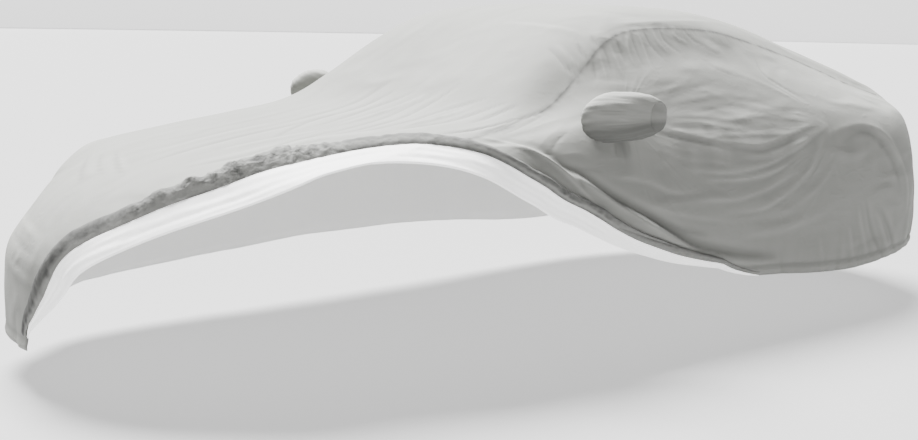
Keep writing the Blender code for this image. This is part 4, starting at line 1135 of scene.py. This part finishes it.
class COVER_OT_mirror_pockets(bpy.types.Operator):
    """Sew a mirror pocket into each side panel"""

    bl_idname = "cover.mirror_pockets"
    bl_label = "Mirror pockets"

    def execute(self, context):
        for side, out in OUT.items():
            back = POCKET_PULLED_BACK[side]
            last, end = self.sleeve(side, out, back)
            self.cap(side, out, back, last, end)
        return {"FINISHED"}

    def sleeve(self, side, out, back):
        """Sews the sleeve to its panel. Returns its last ring and the points of its end."""
        turns = np.linspace(0.0, 2 * np.pi, POCKET_TURNS)
        knots = np.arange(len(POCKET), dtype=float)
        at = np.append(np.linspace(0.0, knots[-1], SLEEVE_RINGS)[:-1], (knots[-1] - RING_HOLD, knots[-1]))
        rings = [Ring(*values) for values in spline(knots, np.array(POCKET), at)]
        x, z = pocket_ring(POCKET[0], turns, POCKET_OVERLAP)
        outlines = [(x, self.on_panel(side, out, x + back, z) - POCKET_SUNK, z)]
        for ring in rings:
            x, z = pocket_ring(ring, turns)
            outlines.append((x, ring.out + 0 * x, z))
        points = np.array([np.stack([x + back, out * y, z], axis=1) for x, y, z in outlines])
        points, hollow, dark = self.wrinkled(points)
        self.add(side, "sleeve", points, hollow, dark)
        return rings[-1], points[-1]

    def on_panel(self, side, out, stations, heights):
        """How far out the cloth of the side panel lies at the given stations and heights."""
        cloth = bpy.data.objects[f"{side}_side_cloth"]
        inwards = Vector((0.0, -out, 0.0))
        spots = []
        for station, height in zip(stations, heights):
            start = Vector((station, out * BEYOND_PANEL, height)) - Vector(ORIGIN)
            hit, spot, _, _ = cloth.ray_cast(start, inwards)
            if not hit:
                raise RuntimeError(f"the {side} pocket misses its panel")
            spots.append(abs(spot.y))
        return np.array(spots)

    def wrinkled(self, points):
        """Wrinkles that run out along the sleeve, gathers below, and how hollow and how dark they are, as
        painted shade and highlight.
        """
        rounds = np.linspace(0.0, 2 * np.pi, points.shape[1])[None, :]
        length = np.linspace(0.0, 1.0, points.shape[0])[:, None]
        spots = [np.cos(rounds) + 0 * length, np.sin(rounds) + 0 * length, length + 0 * rounds]
        spots = np.stack(spots, axis=-1)
        below = bell(np.sin(rounds) + 0.95, 0.35)
        gathered = below * np.sin(np.pi * length) * np.cos(POCKET_GATHERS * rounds)
        height = 0.0045 * pleats(spots, *POCKET_FOLDS) + 0.0030 * pleats(spots, *POCKET_CREASES)
        height = (height + 0.0030 * gathered) * clamp(np.sin(np.pi * length)) ** 0.5
        middle = points.mean(axis=1, keepdims=True)
        outward = unit((points - middle) * (1.0, 0.0, 1.0))
        # Painted shade in the hollows of the wrinkles, and a painted highlight over the top of the pocket.
        hollow = np.clip(hollows(height, POCKET_ROUNDS) - 2.0 * clamp(np.sin(rounds) + 0.1), -1.0, 1.0)
        # Painted shade under the pocket, at its root on the panel and towards its end.
        dark = self.underside(np.sin(rounds)) + 0.8 * bell(length, 0.06)
        dark = dark + END_SHADE * clamp((length - 0.7) / 0.3) ** 1.5
        return points + height[..., None] * outward, hollow, clamp(dark)

    def cap(self, side, out, back, last, end):
        """Closes the end of the sleeve with a low dome, sewn in with stitches that show at its rear."""
        x, z = end[:, 0] - back, end[:, 2]
        share = np.insert(np.linspace(1.0, 0.0, CAP_RINGS), 1, CAP_HOLD)[:, None]
        y = last.out + PIECE_GAP + POCKET_TIP * (1 - share**2) + 0 * x
        x, z = last.station + share * (x - last.station), last.height + share * (z - last.height)
        dome = np.stack([x + back, out * y, z], axis=-1)
        behind = (dome[:1, :, 0] - back - last.station) / last.half_length
        stitches = np.clip(0.2 + 1.6 * waves(dome[:1], *BROKEN_STITCHES), 0.0, 0.8) * clamp(behind + 0.6)
        # Painted shade under the cap and over its end, with the dark stitches of its seam at its rear.
        dark = self.underside((z - last.height) / last.half_height) + END_SHADE + stitches * share**8
        self.add(side, "cap", dome, 0 * dark, clamp(dark))

    def underside(self, height):
        """Painted shade on the lower side of a pocket, by height between -1, the bottom of a pocket, and 1,
        its top.
        """
        return clamp(2.2 * (-0.08 - height))

    def add(self, side, piece, points, hollow, dark):
        shell = grid_shell(points, {"hollow": hollow, "dark": dark})
        bmesh.ops.remove_doubles(shell, verts=shell.verts[:], dist=SAME_POINT)
        bmesh.ops.recalc_face_normals(shell, faces=shell.faces[:])
        middle = Vector(points.reshape(-1, 3).mean(axis=0) - ORIGIN)
        face = max(shell.faces, key=lambda f: abs(f.calc_center_median().y))
        turn_out(shell, face, face.calc_center_median() - middle)
        lay_sheet(f"{side}_mirror_{piece}", f"mirror_{piece}_{side}", shell)


class COVER_OT_stage(bpy.types.Operator):
    """Set the pale floor, the soft lights and the camera"""

    bl_idname = "cover.stage"
    bl_label = "Stage"

    def execute(self, context):
        stage = context.scene.cover_stage
        self.ground(stage)
        self.lights(context.scene, stage)
        self.camera(context.scene)
        return {"FINISHED"}

    def ground(self, stage):
        """The floor, and a low wall round it that fades into the background."""
        floor = bmesh.new()
        bmesh.ops.create_grid(floor, x_segments=1, y_segments=1, size=FLOOR_HALF_SIDE)
        self.add("floor", floor, stage.floor, stage.lift)
        wall = bmesh.new()
        bmesh.ops.create_circle(wall, segments=WALL_SIDES, radius=WALL_RADIUS)
        raised = bmesh.ops.extrude_edge_only(wall, edges=wall.edges[:])
        top = [item for item in raised["geom"] if isinstance(item, bmesh.types.BMVert)]
        bmesh.ops.translate(wall, verts=top, vec=(0.0, 0.0, stage.wall))
        self.add("wall", wall, stage.floor, stage.glow)

    def add(self, name, shell, colour, shine):
        """Stands a piece of the stage on the ground, in a matt finish that shines by itself."""
        bmesh.ops.translate(shell, verts=shell.verts[:], vec=(0.0, 0.0, -ORIGIN[2]))
        graph = Graph(f"studio_{name}")
        graph.surface(Base_Color=colour4(colour), Roughness=0.8)
        graph.surface(Emission_Color=WHITE, Emission_Strength=shine)
        mesh = mesh_from(shell, name)
        mesh.materials.append(graph.material)
        show(name, mesh)

    def lights(self, scene, stage):
        sun = bpy.data.lights.new("overhead", "SUN")
        sun.energy = stage.overhead
        sun.angle = math.radians(SUN_SPREAD)
        show("overhead", sun).rotation_euler = [math.radians(turn) for turn in SUN_TURNS]
        world = bpy.data.worlds.new("studio")
        world.use_nodes = True
        background = world.node_tree.nodes["Background"]
        background.inputs["Color"].default_value = WHITE
        background.inputs["Strength"].default_value = stage.room
        scene.world = world

    def camera(self, scene):
        data = bpy.data.cameras.new("camera")
        data.sensor_width = SENSOR
        data.lens = FOCAL_PIXELS / PHOTO_WIDTH * SENSOR
        data.shift_x = (PHOTO_WIDTH / 2 - OPTICAL_CENTRE[0]) / PHOTO_WIDTH
        data.shift_y = (OPTICAL_CENTRE[1] - PHOTO_HEIGHT / 2) / PHOTO_WIDTH
        data.clip_end = VIEW_END
        camera = show("camera", data)
        level = Vector((math.sin(CAMERA_YAW), -math.cos(CAMERA_YAW), 0.0))
        ahead = Vector((math.cos(CAMERA_YAW), math.sin(CAMERA_YAW), 0.0)) * math.cos(CAMERA_PITCH)
        ahead.z = -math.sin(CAMERA_PITCH)
        above = level.cross(ahead)
        right = math.cos(CAMERA_ROLL) * level + math.sin(CAMERA_ROLL) * above
        up = math.cos(CAMERA_ROLL) * above - math.sin(CAMERA_ROLL) * level
        turn = Matrix((right, up, -ahead)).transposed().to_4x4()
        camera.matrix_world = Matrix.Translation(Vector(CAMERA_PLACE) - Vector(ORIGIN)) @ turn
        scene.camera = camera


class COVER_PT_panel(bpy.types.Panel):
    bl_idname = "COVER_PT_panel"
    bl_label = "Car cover"
    bl_space_type = "VIEW_3D"
    bl_region_type = "UI"
    bl_category = "Cover"

    def draw(self, context):
        for settings in (context.scene.car_cover, context.scene.cover_stage):
            for name in settings.__annotations__:
                self.layout.prop(settings, name)
        for operator in OPERATORS:
            self.layout.operator(operator.bl_idname)


OPERATORS = (
    COVER_OT_centre_cloth,
    COVER_OT_side_cloths,
    COVER_OT_cuff,
    COVER_OT_mirror_pockets,
    COVER_OT_stage,
)
CLASSES = (CoverSettings, StageSettings, *OPERATORS, COVER_PT_panel)


def register():
    for cls in CLASSES:
        bpy.utils.register_class(cls)
    bpy.types.Scene.car_cover = PointerProperty(type=CoverSettings)
    bpy.types.Scene.cover_stage = PointerProperty(type=StageSettings)


def unregister():
    del bpy.types.Scene.car_cover
    del bpy.types.Scene.cover_stage
    for cls in reversed(CLASSES):
        bpy.utils.unregister_class(cls)


def main():
    register()
    bpy.ops.cover.centre_cloth()
    bpy.ops.cover.side_cloths()
    bpy.ops.cover.cuff()
    bpy.ops.cover.mirror_pockets()
    bpy.ops.cover.stage()


if __name__ == "__main__":
    main()
